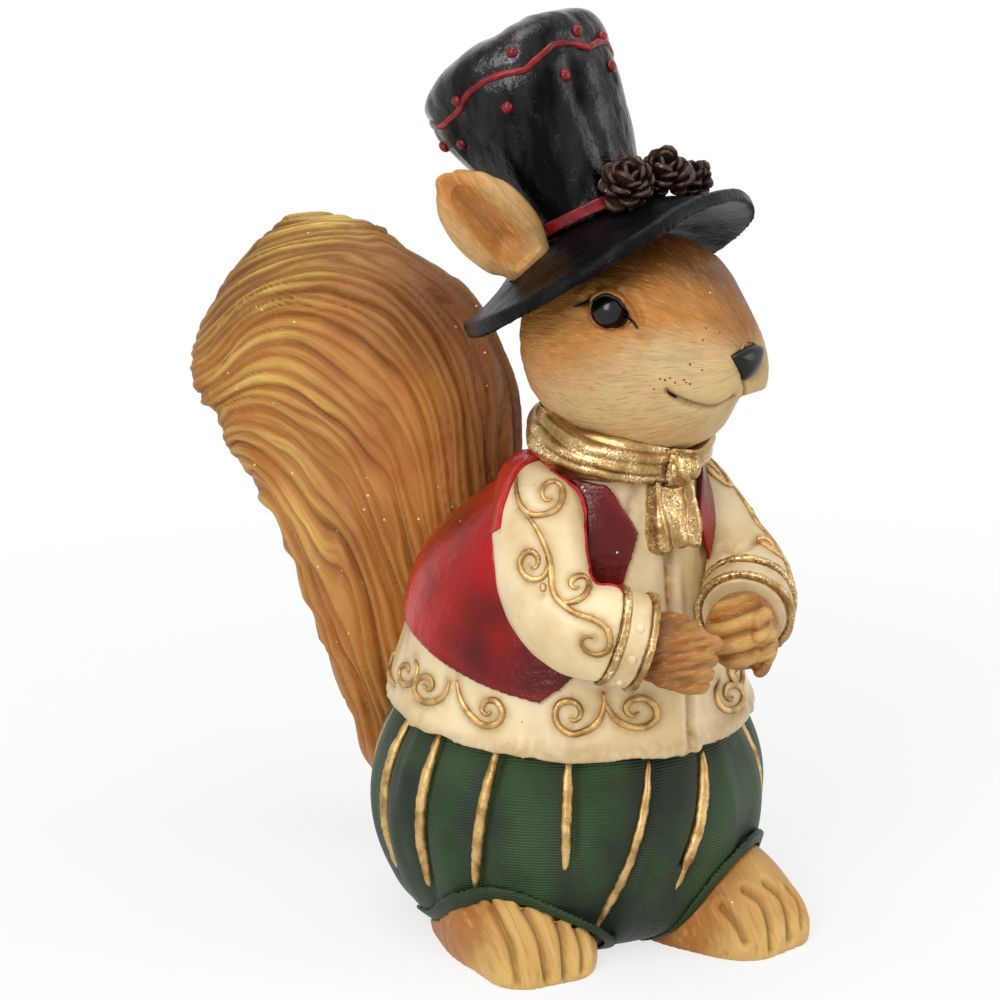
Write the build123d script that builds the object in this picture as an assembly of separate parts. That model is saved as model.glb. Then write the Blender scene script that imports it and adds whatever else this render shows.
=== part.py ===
from build123d import *
import math
import os

os.makedirs("parts", exist_ok=True)

# Squirrel figurine in painted cast resin, all sizes in millimetres.
# The figure faces -Y and its own left hand is on +X.
# The origin is the centre of the flat underside.

# Joints between castings
GLUE_LINE = 0.25
CASTING_WALL = 5.0
OVERRUN = 80.0

# Breeches, the hollow lower casting
BREECHES_HEIGHT = 68.0
BREECHES_HALF_WIDTH = 53.5
BREECHES_HALF_DEPTH = 54.0
# height, lean, width and depth shares of each level
BREECHES_SHARES = (
    (0.000, 0.0, 0.560, 0.555),
    (0.060, 0.0, 0.766, 0.760),
    (0.147, 0.0, 0.870, 0.870),
    (0.265, 0.0, 0.944, 0.945),
    (0.470, 0.0, 1.000, 1.000),
    (0.676, 0.0, 0.975, 0.965),
    (0.853, 0.0, 0.880, 0.872),
    (1.000, 0.0, 0.760, 0.765),
)

# Felt cover let into the underside
BASE_COVER_RADIUS = 21.0
BASE_COVER_THICKNESS = 1.2

# Raised gold stripes on the breeches, by their angle from the front
STRIPE_WIDTH = 2.2
STRIPE_PROUD = 0.9
STRIPE_ANGLES = (-129, -107, -86, -65, -39, -16, 8, 42, 65, 86, 107, 129, 151)
STRIPE_BOTTOM_SHARE = 0.27

# Raised cloth hem round each foot
LEG_HEM_PROUD = 1.5
LEG_HEM_WIDTH = 4.0

# Shirt, the hollow upper casting
SHIRT_HEIGHT = 76.5
SHIRT_HALF_WIDTH = 49.0
SHIRT_HALF_DEPTH = 50.5
SHIRT_LEAN = 22.0
SHIRT_OVERLAP = 7.5
SHIRT_HEM_TILT = 2.5
SHIRT_WALL = 8.0
SHIRT_SHARES = (
    (-0.137, 0.04, 0.985, 0.985),
    (-0.033, 0.04, 1.000, 1.000),
    (0.046, 0.00, 0.970, 0.980),
    (0.190, 0.00, 0.908, 0.911),
    (0.386, 0.04, 0.847, 0.832),
    (0.582, 0.23, 0.755, 0.733),
    (0.765, 0.59, 0.592, 0.554),
    (0.922, 0.91, 0.430, 0.396),
    (1.000, 1.00, 0.390, 0.356),
)

# Waistcoat, a thin shell over the shirt
WAISTCOAT_THICKNESS = 1.8
WAISTCOAT_HEM_SHARE = 0.255
WAISTCOAT_HEM_TILT = 12.5
# width and height shares of the shirt for one front edge, from the neck down
WAISTCOAT_EDGE_SHARES = (
    (0.39, 1.10),
    (0.33, 0.90),
    (0.21, 0.73),
    (0.30, 0.55),
    (0.56, 0.25),
    (0.72, 0.16),
    (0.80, -0.10),
)

# Scarf: a wrap round the neck, a knot and one hanging end
SCARF_RADIUS = 25.0
SCARF_DEPTH_SHARE = 0.96
SCARF_HEIGHT = 13.0
SCARF_TILT = 8.0
# level and radius shares of the bulging wrap
SCARF_SHARES = ((-0.5, 0.86), (-0.3, 0.97), (0.0, 1.0), (0.3, 0.95), (0.5, 0.84))
SCARF_KNOT_RADIUS = 6.0
SCARF_KNOT_HALF_DEPTH = 6.6
SCARF_KNOT_RISE_SHARE = -0.05
SCARF_END_WIDTH = 12.0
SCARF_END_LENGTH = 20.5
SCARF_END_THICKNESS = 4.6
SCARF_END_RISE_SHARE = -0.4

# Sleeves, as tubes along a bent arm
ARM_RADIUS = 13.0
CUFF_LENGTH = 9.5
CUFF_RADIUS = 12.2
CUFF_TRIM_WIDTH = 1.8
CUFF_TRIM_PROUD = 0.9
# width, depth and height shares of the shirt, then the arm radius share
RIGHT_ARM_SHARES = (
    (-0.370, -0.28, 0.870, 0.62),
    (-0.550, -0.42, 0.817, 0.82),
    (-0.690, -0.61, 0.712, 0.92),
    (-0.735, -0.77, 0.535, 0.93),
    (-0.655, -0.92, 0.468, 0.96),
)
LEFT_ARM_SHARES = (
    (0.330, -0.30, 0.846, 0.62),
    (0.450, -0.37, 0.770, 0.80),
    (0.510, -0.51, 0.645, 0.92),
    (0.540, -0.69, 0.515, 0.96),
)
RIGHT_CUFF_SHARES = ((-0.561, -0.996, 0.450), (-0.398, -1.089, 0.412))
LEFT_CUFF_SHARES = ((0.451, -0.940, 0.445), (0.310, -1.065, 0.410))

# Paws: a palm and four fingers each
PALM_HALF_LENGTH = 11.5
PALM_HALF_WIDTH = 9.5
PALM_REACH_SHARE = 0.6
FINGER_RADIUS = 2.9
FINGER_HALF_LENGTH = 7.5
FINGER_COUNT = 4
FINGER_SPREAD_SHARE = 0.8
FINGER_OUT_SHARE = 0.75
FINGER_ARCH_SHARE = 0.3

# Head, lofted along the way it faces
HEAD_HALF_WIDTH = 26.5
HEAD_HALF_HEIGHT = 28.5
HEAD_BACK = 29.0
HEAD_FRONT = 36.5
HEAD_TURN = 16.0
HEAD_SINK = 4.0
HEAD_SIDE = 2.0
HEAD_FORWARD = 2.0
# station, lift, width and height shares, from the back to the muzzle
HEAD_SHARES = (
    (-1.00, 0.00, 0.16, 0.16),
    (-0.93, 0.00, 0.42, 0.42),
    (-0.70, 0.00, 0.74, 0.74),
    (-0.30, 0.00, 0.96, 0.96),
    (0.10, 0.00, 1.00, 1.00),
    (0.40, 0.00, 0.92, 0.94),
    (0.62, -0.05, 0.76, 0.79),
    (0.80, -0.09, 0.58, 0.60),
    (0.93, -0.12, 0.42, 0.41),
    (1.00, -0.14, 0.22, 0.20),
)

# Eyes and nose
EYE_RADIUS = 5.6
EYE_SIDE_SHARE = 0.76
EYE_FRONT_SHARE = 0.19
EYE_RISE_SHARE = 0.44
NOSE_RADIUS = 3.9
NOSE_HALF_DEPTH = 4.4
NOSE_FRONT_SHARE = 0.92
NOSE_RISE_SHARE = 0.0

# Ears
EAR_LENGTH = 38.0
EAR_HALF_WIDTH = 10.5
EAR_HALF_THICKNESS = 4.5
EAR_HOLLOW_SHARE = 0.66
EAR_SIDE_SHARE = 0.76
EAR_BACK_SHARE = 0.63
EAR_RISE_SHARE = 0.84
EAR_SUNK_SHARE = 0.28
EAR_TURN = 45.0
EAR_SPLAY = 45.0
# length, width and thickness shares, from root to tip
EAR_SHARES = (
    (0.00, 0.40, 0.60),
    (0.20, 0.72, 0.90),
    (0.45, 1.00, 1.00),
    (0.65, 0.96, 0.92),
    (0.82, 0.74, 0.74),
    (0.94, 0.40, 0.44),
    (1.00, 0.14, 0.20),
)

# Hat
HAT_TILT = 29.5
HAT_BACK_SHARE = 0.26
HAT_RISE_SHARE = 0.65
BRIM_RADIUS = 39.8
BRIM_THICKNESS = 3.0
BRIM_RISE = 10.5
BRIM_DROOP = 6.0
BRIM_CURVE_POWER = 1.3
BRIM_GRID = 9
CROWN_HEIGHT = 58.5
CROWN_TOP_RADIUS = 25.8
CROWN_SUNK = 4.0
CROWN_FORWARD = 4.0
CROWN_LEAN = 7.0
# height and radius shares of the crown, from its foot to the dome
CROWN_SHARES = (
    (0.000, 0.540),
    (0.125, 0.563),
    (0.315, 0.692),
    (0.508, 0.836),
    (0.690, 0.950),
    (0.842, 1.000),
    (0.892, 0.970),
    (0.942, 0.840),
    (0.983, 0.530),
    (1.000, 0.250),
)
HAT_BAND_HEIGHT = 5.0
HAT_BAND_PROUD = 1.2
HAT_CORD_RADIUS = 1.3
# height and radius shares of the crown at the cord
HAT_CORD_SHARES = (0.735, 0.97)
STUD_RADIUS = 1.9
STUDS_IN_ROW = 8
# height and radius shares of the crown for each row of studs
STUD_ROW_SHARES = ((0.66, 0.935), (0.833, 1.0))
STUD_ROW_ANGLES = (-28.0, -8.0)

# Pine cones on the brim, by their angle from the front
PINE_CONE_RADIUS = 5.6
PINE_CONE_HALF_HEIGHT = 6.4
PINE_CONE_ANGLES = (-20.0, 15.0, 34.0)
PINE_CONE_SEAT_SHARE = 0.8
# share of the full size, then of the brim radius
PINE_CONE_SHARES = ((1.0, 0.555), (1.0, 0.60), (0.75, 0.72))

# Tail
TAIL_HEIGHT = 166.0
TAIL_BOTTOM = 14.0
TAIL_HALF_WIDTH = 50.0
TAIL_HALF_THICKNESS = 19.5
TAIL_INSET = 9.0
TAIL_TURN = 26.0
TAIL_SWEEP = 41.5
TAIL_WALL = 6.0
# height, sweep, thickness and width shares, from the foot to the curl
TAIL_SHARES = (
    (0.000, 0.480, 0.31, 0.10),
    (0.042, 0.470, 0.46, 0.19),
    (0.089, 0.505, 0.62, 0.26),
    (0.167, 0.555, 0.79, 0.32),
    (0.250, 0.610, 0.90, 0.405),
    (0.327, 0.620, 0.95, 0.495),
    (0.411, 0.640, 0.97, 0.59),
    (0.494, 0.650, 0.98, 0.74),
    (0.589, 0.735, 0.99, 0.92),
    (0.655, 0.807, 1.00, 0.99),
    (0.738, 0.855, 1.00, 1.00),
    (0.833, 0.845, 1.00, 0.87),
    (0.899, 0.855, 0.92, 0.71),
    (0.940, 0.905, 0.75, 0.54),
    (0.976, 0.965, 0.50, 0.36),
    (1.000, 1.000, 0.20, 0.14),
)

# Feet
FOOT_LENGTH = 51.0
FOOT_HALF_WIDTH = 17.0
FOOT_HEIGHT = 30.0
FOOT_SOLE_SHARE = 0.25
TOE_RADIUS = 4.4
TOE_HALF_LENGTH = 6.8
TOE_SPREAD_SHARE = 0.72
TOE_REACH_SHARE = 0.87
TOE_ARCH_SHARE = 0.06
TOE_COUNT = 4
RIGHT_FOOT_TURN = -10.0
LEFT_FOOT_TURN = 8.0
# width and depth shares of the breeches for each heel
RIGHT_HEEL_SHARES = (-0.50, 0.11)
LEFT_HEEL_SHARES = (0.28, -0.24)
# station, width and height shares, from heel to toe
FOOT_SHARES = (
    (0.000, 0.55, 0.60),
    (0.120, 0.85, 0.85),
    (0.350, 1.00, 1.00),
    (0.600, 1.00, 0.93),
    (0.780, 0.92, 0.74),
    (0.900, 0.80, 0.48),
    (0.965, 0.62, 0.32),
    (1.000, 0.35, 0.16),
)

# Locating dowels hidden in the joints
DOWEL_RADIUS = 3.0
DOWEL_LENGTH = 18.0
TAIL_DOWEL_SHARE = 0.6

SECTION_POINTS = 16
BODY_SEAM_ANGLE = 45.0
SCARF_SEAM_ANGLE = 160.0


def oval(place, half_width, half_height, seam=0):
    """Oval face in the XY plane of a place; seam is the angle where its edge starts."""
    points = []
    for step in range(SECTION_POINTS):
        angle = math.radians(seam) + 2 * math.pi * step / SECTION_POINTS
        points.append((half_width * math.cos(angle), half_height * math.sin(angle)))
    return place * make_face(Spline(points, periodic=True))


def end_shift(index, rows, grow):
    """How far an end level moves outwards when a form grows."""
    if index == 0:
        return -grow
    if index == len(rows) - 1:
        return grow
    return 0


def upright_form(rows, base, height, half_width, half_depth, lean, grow):
    """Loft of level ovals; rows hold height, lean, width and depth shares."""
    sections = []
    for index, (level, shift, width, depth) in enumerate(rows):
        rise = base + height * level + end_shift(index, rows, grow)
        across = half_width * width + grow
        deep = half_depth * depth + grow
        sections.append(oval(Pos(0, -lean * shift, rise), across, deep, BODY_SEAM_ANGLE))
    return loft(sections)


def breeches_form(grow=0):
    return upright_form(
        BREECHES_SHARES, 0, BREECHES_HEIGHT, BREECHES_HALF_WIDTH, BREECHES_HALF_DEPTH, 0, grow
    )


SHIRT_HEM = BREECHES_HEIGHT - SHIRT_OVERLAP


def shirt_form(grow=0):
    return upright_form(
        SHIRT_SHARES, SHIRT_HEM, SHIRT_HEIGHT, SHIRT_HALF_WIDTH, SHIRT_HALF_DEPTH, SHIRT_LEAN, grow
    )


def shirt_point(width_share, depth_share, height_share):
    """A point given in shares of the shirt's sizes."""
    return Vector(
        SHIRT_HALF_WIDTH * width_share,
        SHIRT_HALF_DEPTH * depth_share,
        SHIRT_HEM + SHIRT_HEIGHT * height_share,
    )


def tube(points, radii):
    """Loft of circles along a bent line of points."""
    sections = []
    last = len(points) - 1
    across = Vector(0, 0, 1)
    for index, point in enumerate(points):
        ahead = (points[min(index + 1, last)] - points[max(index - 1, 0)]).normalized()
        across = (across - ahead * across.dot(ahead)).normalized()
        place = Plane(origin=point, x_dir=across, z_dir=ahead).location
        sections.append(oval(place, radii[index], radii[index]))
    return loft(sections)


def spheroid(place, radius, half_length):
    """Ellipse turned round the Z axis of a place."""
    arc = EllipticalCenterArc((0, 0), radius, half_length, start_angle=-90, arc_size=180)
    half = make_face([Line((0, half_length), (0, -half_length)), arc])
    return place * revolve(Plane.XZ * half, Axis.Z)


def below(height, tilt=0):
    """Everything under a level that tilts up towards the back."""
    block = Pos(0, 0, -OVERRUN) * Box(4 * OVERRUN, 4 * OVERRUN, 2 * OVERRUN)
    return Pos(0, 0, height) * Rot(tilt, 0, 0) * block


# Shared places
NECK_TOP = SHIRT_HEM + SHIRT_HEIGHT
HEAD_PLACE = Pos(
    HEAD_SIDE, -SHIRT_LEAN - HEAD_FORWARD, NECK_TOP + HEAD_HALF_HEIGHT - HEAD_SINK
) * Rot(0, 0, HEAD_TURN)
HAT_PLACE = (
    HEAD_PLACE
    * Pos(0, HEAD_BACK * HAT_BACK_SHARE, HEAD_HALF_HEIGHT * HAT_RISE_SHARE)
    * Rot(-HAT_TILT, 0, 0)
)
CROWN_PLACE = HAT_PLACE * Pos(0, -CROWN_FORWARD, BRIM_RISE - CROWN_SUNK) * Rot(-CROWN_LEAN, 0, 0)


def head_form(grow=0):
    sections = []
    for index, (station, lift, width, height) in enumerate(HEAD_SHARES):
        reach = HEAD_FRONT if station > 0 else HEAD_BACK
        along = reach * station + end_shift(index, HEAD_SHARES, grow)
        place = HEAD_PLACE * Pos(0, -along, HEAD_HALF_HEIGHT * lift) * Rot(90, 0, 0)
        sections.append(
            oval(place, HEAD_HALF_WIDTH * width + grow, HEAD_HALF_HEIGHT * height + grow)
        )
    return loft(sections)


def dowel(place, grow=0):
    return place * Cylinder(DOWEL_RADIUS + grow, DOWEL_LENGTH + 2 * grow)


NECK_DOWEL_PLACE = Pos(0, -SHIRT_LEAN, NECK_TOP)
HAT_DOWEL_PLACE = HAT_PLACE * Pos(0, -CROWN_FORWARD, BRIM_RISE)
TAIL_DOWEL_PLACE = Pos(0, BREECHES_HALF_DEPTH, BREECHES_HEIGHT * TAIL_DOWEL_SHARE) * Rot(90, 0, 0)


def make_underside():
    """Breeches casting and the felt cover in its underside."""
    shell = breeches_form() - breeches_form(-CASTING_WALL)
    recess_depth = BASE_COVER_THICKNESS + GLUE_LINE
    recess = Cylinder(
        BASE_COVER_RADIUS + GLUE_LINE, recess_depth, align=(Align.CENTER, Align.CENTER, Align.MIN)
    )
    shell -= [recess, dowel(TAIL_DOWEL_PLACE, GLUE_LINE)]
    cover = Cylinder(
        BASE_COVER_RADIUS, BASE_COVER_THICKNESS, align=(Align.CENTER, Align.CENTER, Align.MIN)
    )
    return shell, cover


def foot_place(heel_shares, turn):
    heel_x = BREECHES_HALF_WIDTH * heel_shares[0]
    heel_y = BREECHES_HALF_DEPTH * heel_shares[1]
    return Pos(heel_x, heel_y, 0) * Rot(0, 0, turn)


def foot_body(place, grow=0):
    """Foot without toes, its front towards -Y of the place."""
    sections = []
    for index, (station, width, height) in enumerate(FOOT_SHARES):
        along = FOOT_LENGTH * station + end_shift(index, FOOT_SHARES, grow)
        half_height = FOOT_HEIGHT * height * (1 - FOOT_SOLE_SHARE)
        level = place * Pos(0, -along, FOOT_HEIGHT * height * FOOT_SOLE_SHARE) * Rot(90, 0, 0)
        sections.append(oval(level, FOOT_HALF_WIDTH * width + grow, half_height + grow))
    return loft(sections)


def foot(place):
    """Foot standing on the floor, with a row of toes."""
    form = foot_body(place)
    for toe in range(TOE_COUNT):
        across = (toe - (TOE_COUNT - 1) / 2) / (TOE_COUNT / 2)
        side = FOOT_HALF_WIDTH * TOE_SPREAD_SHARE * across
        reach = FOOT_LENGTH * (TOE_REACH_SHARE - TOE_ARCH_SHARE * across * across)
        toe_place = place * Pos(side, -reach, TOE_RADIUS) * Rot(90, 0, 0)
        form += spheroid(toe_place, TOE_RADIUS, TOE_HALF_LENGTH)
    return form - below(0)


def make_legs():
    """Feet, the raised hems round them and the stripes of the breeches."""
    pieces = {}
    cloth = breeches_form(GLUE_LINE)
    hem_shell = breeches_form(LEG_HEM_PROUD) - cloth
    sides = (
        ("right", foot_place(RIGHT_HEEL_SHARES, RIGHT_FOOT_TURN)),
        ("left", foot_place(LEFT_HEEL_SHARES, LEFT_FOOT_TURN)),
    )
    clear_hems = []
    for side, place in sides:
        pieces["foot_" + side] = foot(place) - cloth
        hem = hem_shell & foot_body(place, LEG_HEM_WIDTH)
        hem -= foot_body(place, GLUE_LINE)
        pieces["leg_hem_" + side] = hem - below(0)
        clear_hems.append(foot_body(place, LEG_HEM_WIDTH + GLUE_LINE))
    stripe_shell = breeches_form(STRIPE_PROUD) - cloth
    stripe_shell -= below(BREECHES_HEIGHT * STRIPE_BOTTOM_SHARE)
    stripe_shell &= below(SHIRT_HEM - GLUE_LINE, SHIRT_HEM_TILT)
    stripe_shell -= clear_hems
    blades = []
    for angle in STRIPE_ANGLES:
        blade = Box(STRIPE_WIDTH, OVERRUN, OVERRUN * 2, align=(Align.CENTER, Align.MAX, Align.CENTER))
        blades.append(Rot(0, 0, angle) * blade)
    pieces["gold_stripes"] = stripe_shell & (Part() + blades)
    return pieces


def front_opening():
    """The open front of the waistcoat, as a block through the chest."""
    edge = []
    for width, height in WAISTCOAT_EDGE_SHARES:
        edge.append((SHIRT_HALF_WIDTH * width, SHIRT_HEM + SHIRT_HEIGHT * height))
    outline = [(-x, z) for x, z in edge] + edge[::-1]
    face = Plane.XZ * make_face(Polyline(outline, close=True))
    return Pos(0, -SHIRT_LEAN, 0) * extrude(face, OVERRUN)


def arm_line(shares):
    points = [shirt_point(*row[:3]) for row in shares]
    radii = [ARM_RADIUS * row[3] for row in shares]
    return points, radii


def cuff_place(shares):
    """Place of a cuff, with Z from the elbow towards the paw."""
    start = shirt_point(*shares[0])
    end = shirt_point(*shares[1])
    return Plane(origin=start, x_dir=(0, 0, 1), z_dir=end - start).location


def disc(place, radius, start, end):
    """Round slice of a place between two distances along its Z."""
    column = Cylinder(radius, end - start, align=(Align.CENTER, Align.CENTER, Align.MIN))
    return place * Pos(0, 0, start) * column


def cuff_with_trims(place):
    """Cuff band with a raised gold ring let into each edge."""
    cuff = disc(place, CUFF_RADIUS, 0, CUFF_LENGTH)
    trims = []
    for start in (0, CUFF_LENGTH - CUFF_TRIM_WIDTH):
        end = start + CUFF_TRIM_WIDTH
        core = disc(place, CUFF_RADIUS - CUFF_TRIM_PROUD, start, end)
        trims.append(disc(place, CUFF_RADIUS + CUFF_TRIM_PROUD, start, end) - core)
        wide = disc(place, 2 * CUFF_RADIUS, start - GLUE_LINE, end + GLUE_LINE)
        neck = disc(
            place,
            CUFF_RADIUS - CUFF_TRIM_PROUD - GLUE_LINE,
            start - 2 * GLUE_LINE,
            end + 2 * GLUE_LINE,
        )
        cuff -= wide - neck
    return cuff, Part() + trims


def sleeve_form(arm_shares, place, grow=0):
    """Bent tube from the shoulder to just inside the cuff."""
    points, radii = arm_line(arm_shares)
    points.append(Vector(place.position))
    points.append(Vector((place * Pos(0, 0, CUFF_TRIM_WIDTH)).position))
    radii += [CUFF_RADIUS, CUFF_RADIUS]
    return tube(points, [radius + grow for radius in radii])


def palm_place(place):
    return place * Pos(0, 0, CUFF_LENGTH + PALM_HALF_LENGTH * PALM_REACH_SHARE)


def palm_form(place, grow=0):
    return spheroid(palm_place(place), PALM_HALF_WIDTH + grow, PALM_HALF_LENGTH + grow)


def make_paw(place, outward):
    """Palm and four fingers beyond a cuff; outward is 1 or -1 along Y of the place."""
    paw = palm_form(place)
    for finger in range(FINGER_COUNT):
        share = (finger - (FINGER_COUNT - 1) / 2) / (FINGER_COUNT / 2)
        across = PALM_HALF_WIDTH * FINGER_SPREAD_SHARE * share
        out = PALM_HALF_WIDTH * (FINGER_OUT_SHARE - FINGER_ARCH_SHARE * share * share)
        ahead = PALM_HALF_LENGTH - FINGER_HALF_LENGTH
        spot = palm_place(place) * Pos(across, outward * out, ahead)
        paw += spheroid(spot, FINGER_RADIUS, FINGER_HALF_LENGTH)
    cuff_side = disc(place, 2 * CUFF_RADIUS, -CUFF_LENGTH, CUFF_LENGTH + GLUE_LINE)
    return paw - cuff_side


def make_arms():
    """Sleeves, cuffs, cuff trims and the two clasped paws."""
    pieces = {}
    body = shirt_form(GLUE_LINE)
    clear_scarf = scarf_form(GLUE_LINE)
    sides = (
        ("right", RIGHT_ARM_SHARES, cuff_place(RIGHT_CUFF_SHARES), 1),
        ("left", LEFT_ARM_SHARES, cuff_place(LEFT_CUFF_SHARES), -1),
    )
    for side, arm_shares, place, outward in sides:
        beyond = disc(place, 2 * CUFF_RADIUS, -GLUE_LINE, CUFF_LENGTH)
        sleeve = sleeve_form(arm_shares, place) - body - clear_scarf - beyond
        cuff, trims = cuff_with_trims(place)
        pieces["sleeve_" + side] = sleeve
        pieces["cuff_" + side] = cuff - body
        pieces["cuff_trims_" + side] = trims - body
        pieces["paw_" + side] = make_paw(place, outward)
    right = cuff_place(RIGHT_CUFF_SHARES)
    pieces["paw_left"] -= palm_form(right, FINGER_RADIUS * FINGER_OUT_SHARE)
    return pieces


def scarf_form(grow=0):
    """Bulging ring of cloth round the neck, lower at the front."""
    place = Pos(0, -SHIRT_LEAN, NECK_TOP) * Rot(SCARF_TILT, 0, 0)
    sections = []
    for level, width in SCARF_SHARES:
        radius = SCARF_RADIUS * width + grow
        rise = (SCARF_HEIGHT + 2 * grow) * level
        level_place = place * Pos(0, 0, rise)
        sections.append(oval(level_place, radius, radius * SCARF_DEPTH_SHARE, SCARF_SEAM_ANGLE))
    return loft(sections)


def knot_form(grow=0):
    place = (
        Pos(0, -SHIRT_LEAN, NECK_TOP)
        * Rot(SCARF_TILT, 0, 0)
        * Pos(0, -SCARF_RADIUS * SCARF_DEPTH_SHARE, SCARF_HEIGHT * SCARF_KNOT_RISE_SHARE)
        * Rot(90, 0, 0)
    )
    return spheroid(place, SCARF_KNOT_RADIUS + grow, SCARF_KNOT_HALF_DEPTH + grow)


def make_scarf():
    """Wrap, knot and hanging end."""
    wrap = scarf_form() - shirt_form(GLUE_LINE) - head_form(GLUE_LINE)
    knot = knot_form() - scarf_form(GLUE_LINE) - head_form(GLUE_LINE)
    hang = shirt_form(SCARF_END_THICKNESS) - shirt_form(GLUE_LINE)
    strip = Pos(0, -SHIRT_LEAN, NECK_TOP + SCARF_HEIGHT * SCARF_END_RISE_SHARE) * Box(
        SCARF_END_WIDTH, OVERRUN, SCARF_END_LENGTH, align=(Align.CENTER, Align.MAX, Align.MAX)
    )
    hang = (hang & strip) - knot_form(GLUE_LINE) - scarf_form(GLUE_LINE)
    return {"scarf_wrap": wrap, "scarf_knot": knot, "scarf_end": hang}


def brim_height(x, y):
    """Height of the brim's underside: a bell that droops at the two sides."""
    share = min((x * x + y * y) / BRIM_RADIUS**2, 1)
    bell = BRIM_RISE * (1 - share) ** BRIM_CURVE_POWER
    return bell - BRIM_DROOP * (x / BRIM_RADIUS) ** 2


def brim_slab(rise, thickness):
    """Solid between the brim's curve at a rise and that curve moved along the hat."""
    reach = BRIM_RADIUS + BRIM_THICKNESS
    rows = []
    for row in range(BRIM_GRID):
        line = []
        for column in range(BRIM_GRID):
            x = reach * (2 * column / (BRIM_GRID - 1) - 1)
            y = reach * (2 * row / (BRIM_GRID - 1) - 1)
            line.append(Vector(x, y, brim_height(x, y) + rise))
        rows.append(line)
    face = Face.make_surface_from_array_of_points(rows)
    return HAT_PLACE * Solid.extrude(face, Vector(0, 0, thickness))


def crown_form(grow=0):
    """Crown turned round its axis, flaring to a domed top."""
    outline = []
    for height, radius in CROWN_SHARES:
        outline.append((CROWN_TOP_RADIUS * radius + grow, CROWN_HEIGHT * height))
    outline[-1] = (outline[-1][0], outline[-1][1] + grow)
    closing = Polyline([outline[-1], (0, outline[-1][1]), (0, 0), outline[0]])
    face = make_face([Spline(outline), closing])
    return CROWN_PLACE * revolve(Plane.XZ * face, Axis.Z)


def ear_place(side):
    """Root of an ear on the back of the head; side is -1 for the right ear."""
    return (
        HEAD_PLACE
        * Pos(
            side * HEAD_HALF_WIDTH * EAR_SIDE_SHARE,
            HEAD_BACK * EAR_BACK_SHARE,
            HEAD_HALF_HEIGHT * EAR_RISE_SHARE,
        )
        * Rot(0, 0, side * EAR_TURN)
        * Rot(0, side * EAR_SPLAY, 0)
    )


def ear_form(side, grow=0):
    """Flattened leaf shape of an ear."""
    root = ear_place(side) * Pos(0, 0, -EAR_LENGTH * EAR_SUNK_SHARE)
    sections = []
    for index, (level, width, thickness) in enumerate(EAR_SHARES):
        rise = EAR_LENGTH * level + end_shift(index, EAR_SHARES, grow)
        half_width = EAR_HALF_WIDTH * width + grow
        sections.append(
            oval(root * Pos(0, 0, rise), half_width, EAR_HALF_THICKNESS * thickness + grow)
        )
    return loft(sections)


def ear_hollow(side):
    """Room scooped out of the front of an ear."""
    root = ear_place(side) * Pos(0, -EAR_HALF_THICKNESS, -EAR_LENGTH * EAR_SUNK_SHARE)
    sections = []
    for level, width, thickness in EAR_SHARES[1:-1]:
        half_width = EAR_HALF_WIDTH * width * EAR_HOLLOW_SHARE
        half_thickness = EAR_HALF_THICKNESS * thickness * EAR_HOLLOW_SHARE
        sections.append(oval(root * Pos(0, 0, EAR_LENGTH * level), half_width, half_thickness))
    return loft(sections)


def make_ears():
    pieces = {}
    clear_head = head_form(GLUE_LINE)
    clear_crown = crown_form(HAT_BAND_PROUD + GLUE_LINE)
    for side, name in ((-1, "ear_right"), (1, "ear_left")):
        pieces[name] = ear_form(side) - ear_hollow(side) - clear_head - clear_crown
    return pieces


def pine_cone_form(angle, size, reach, grow=0):
    """Pine cone standing on the brim."""
    out = BRIM_RADIUS * reach
    half_height = PINE_CONE_HALF_HEIGHT * size
    height = brim_height(0, out) + BRIM_THICKNESS + half_height * PINE_CONE_SEAT_SHARE
    place = HAT_PLACE * Rot(0, 0, angle) * Pos(0, -out, height)
    return spheroid(place, PINE_CONE_RADIUS * size + grow, half_height + grow)


def make_hat():
    """Brim, crown, band, cord, studs and pine cones."""
    rim = HAT_PLACE * Cylinder(BRIM_RADIUS, OVERRUN)
    under_crown = brim_slab(BRIM_THICKNESS + GLUE_LINE, -OVERRUN)
    hole = dowel(HAT_DOWEL_PLACE, GLUE_LINE)
    brim = (brim_slab(0, BRIM_THICKNESS) & rim) - hole
    brim -= [ear_form(-1, GLUE_LINE), ear_form(1, GLUE_LINE)]
    crown = crown_form() - under_crown - hole
    clear_crown = crown_form(GLUE_LINE)
    band_room = brim_slab(BRIM_THICKNESS + GLUE_LINE, HAT_BAND_HEIGHT)
    band = (crown_form(HAT_BAND_PROUD) - clear_crown) & band_room
    cord_height, cord_radius = HAT_CORD_SHARES
    cord_ring = Torus(CROWN_TOP_RADIUS * cord_radius, HAT_CORD_RADIUS)
    cord = CROWN_PLACE * Pos(0, 0, CROWN_HEIGHT * cord_height) * cord_ring - clear_crown
    studs = []
    for (height, radius), start in zip(STUD_ROW_SHARES, STUD_ROW_ANGLES):
        for index in range(STUDS_IN_ROW):
            turn = Rot(0, 0, start + 360 * index / STUDS_IN_ROW)
            spot = Pos(0, -CROWN_TOP_RADIUS * radius, CROWN_HEIGHT * height)
            ball = CROWN_PLACE * turn * spot * Rot(90, 0, 0) * Sphere(STUD_RADIUS)
            studs.append(ball - clear_crown)
    pieces = {
        "hat_brim": brim,
        "hat_crown": crown,
        "hat_band": band,
        "hat_cord": cord,
        "hat_studs": Part() + studs,
    }
    clear_band = crown_form(HAT_BAND_PROUD + GLUE_LINE)
    placed = []
    for angle, (size, reach) in zip(PINE_CONE_ANGLES, PINE_CONE_SHARES):
        cone = pine_cone_form(angle, size, reach) - under_crown - clear_band - placed
        placed.append(pine_cone_form(angle, size, reach, GLUE_LINE))
        pieces["pine_cone_%d" % len(placed)] = cone
    return pieces


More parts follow.
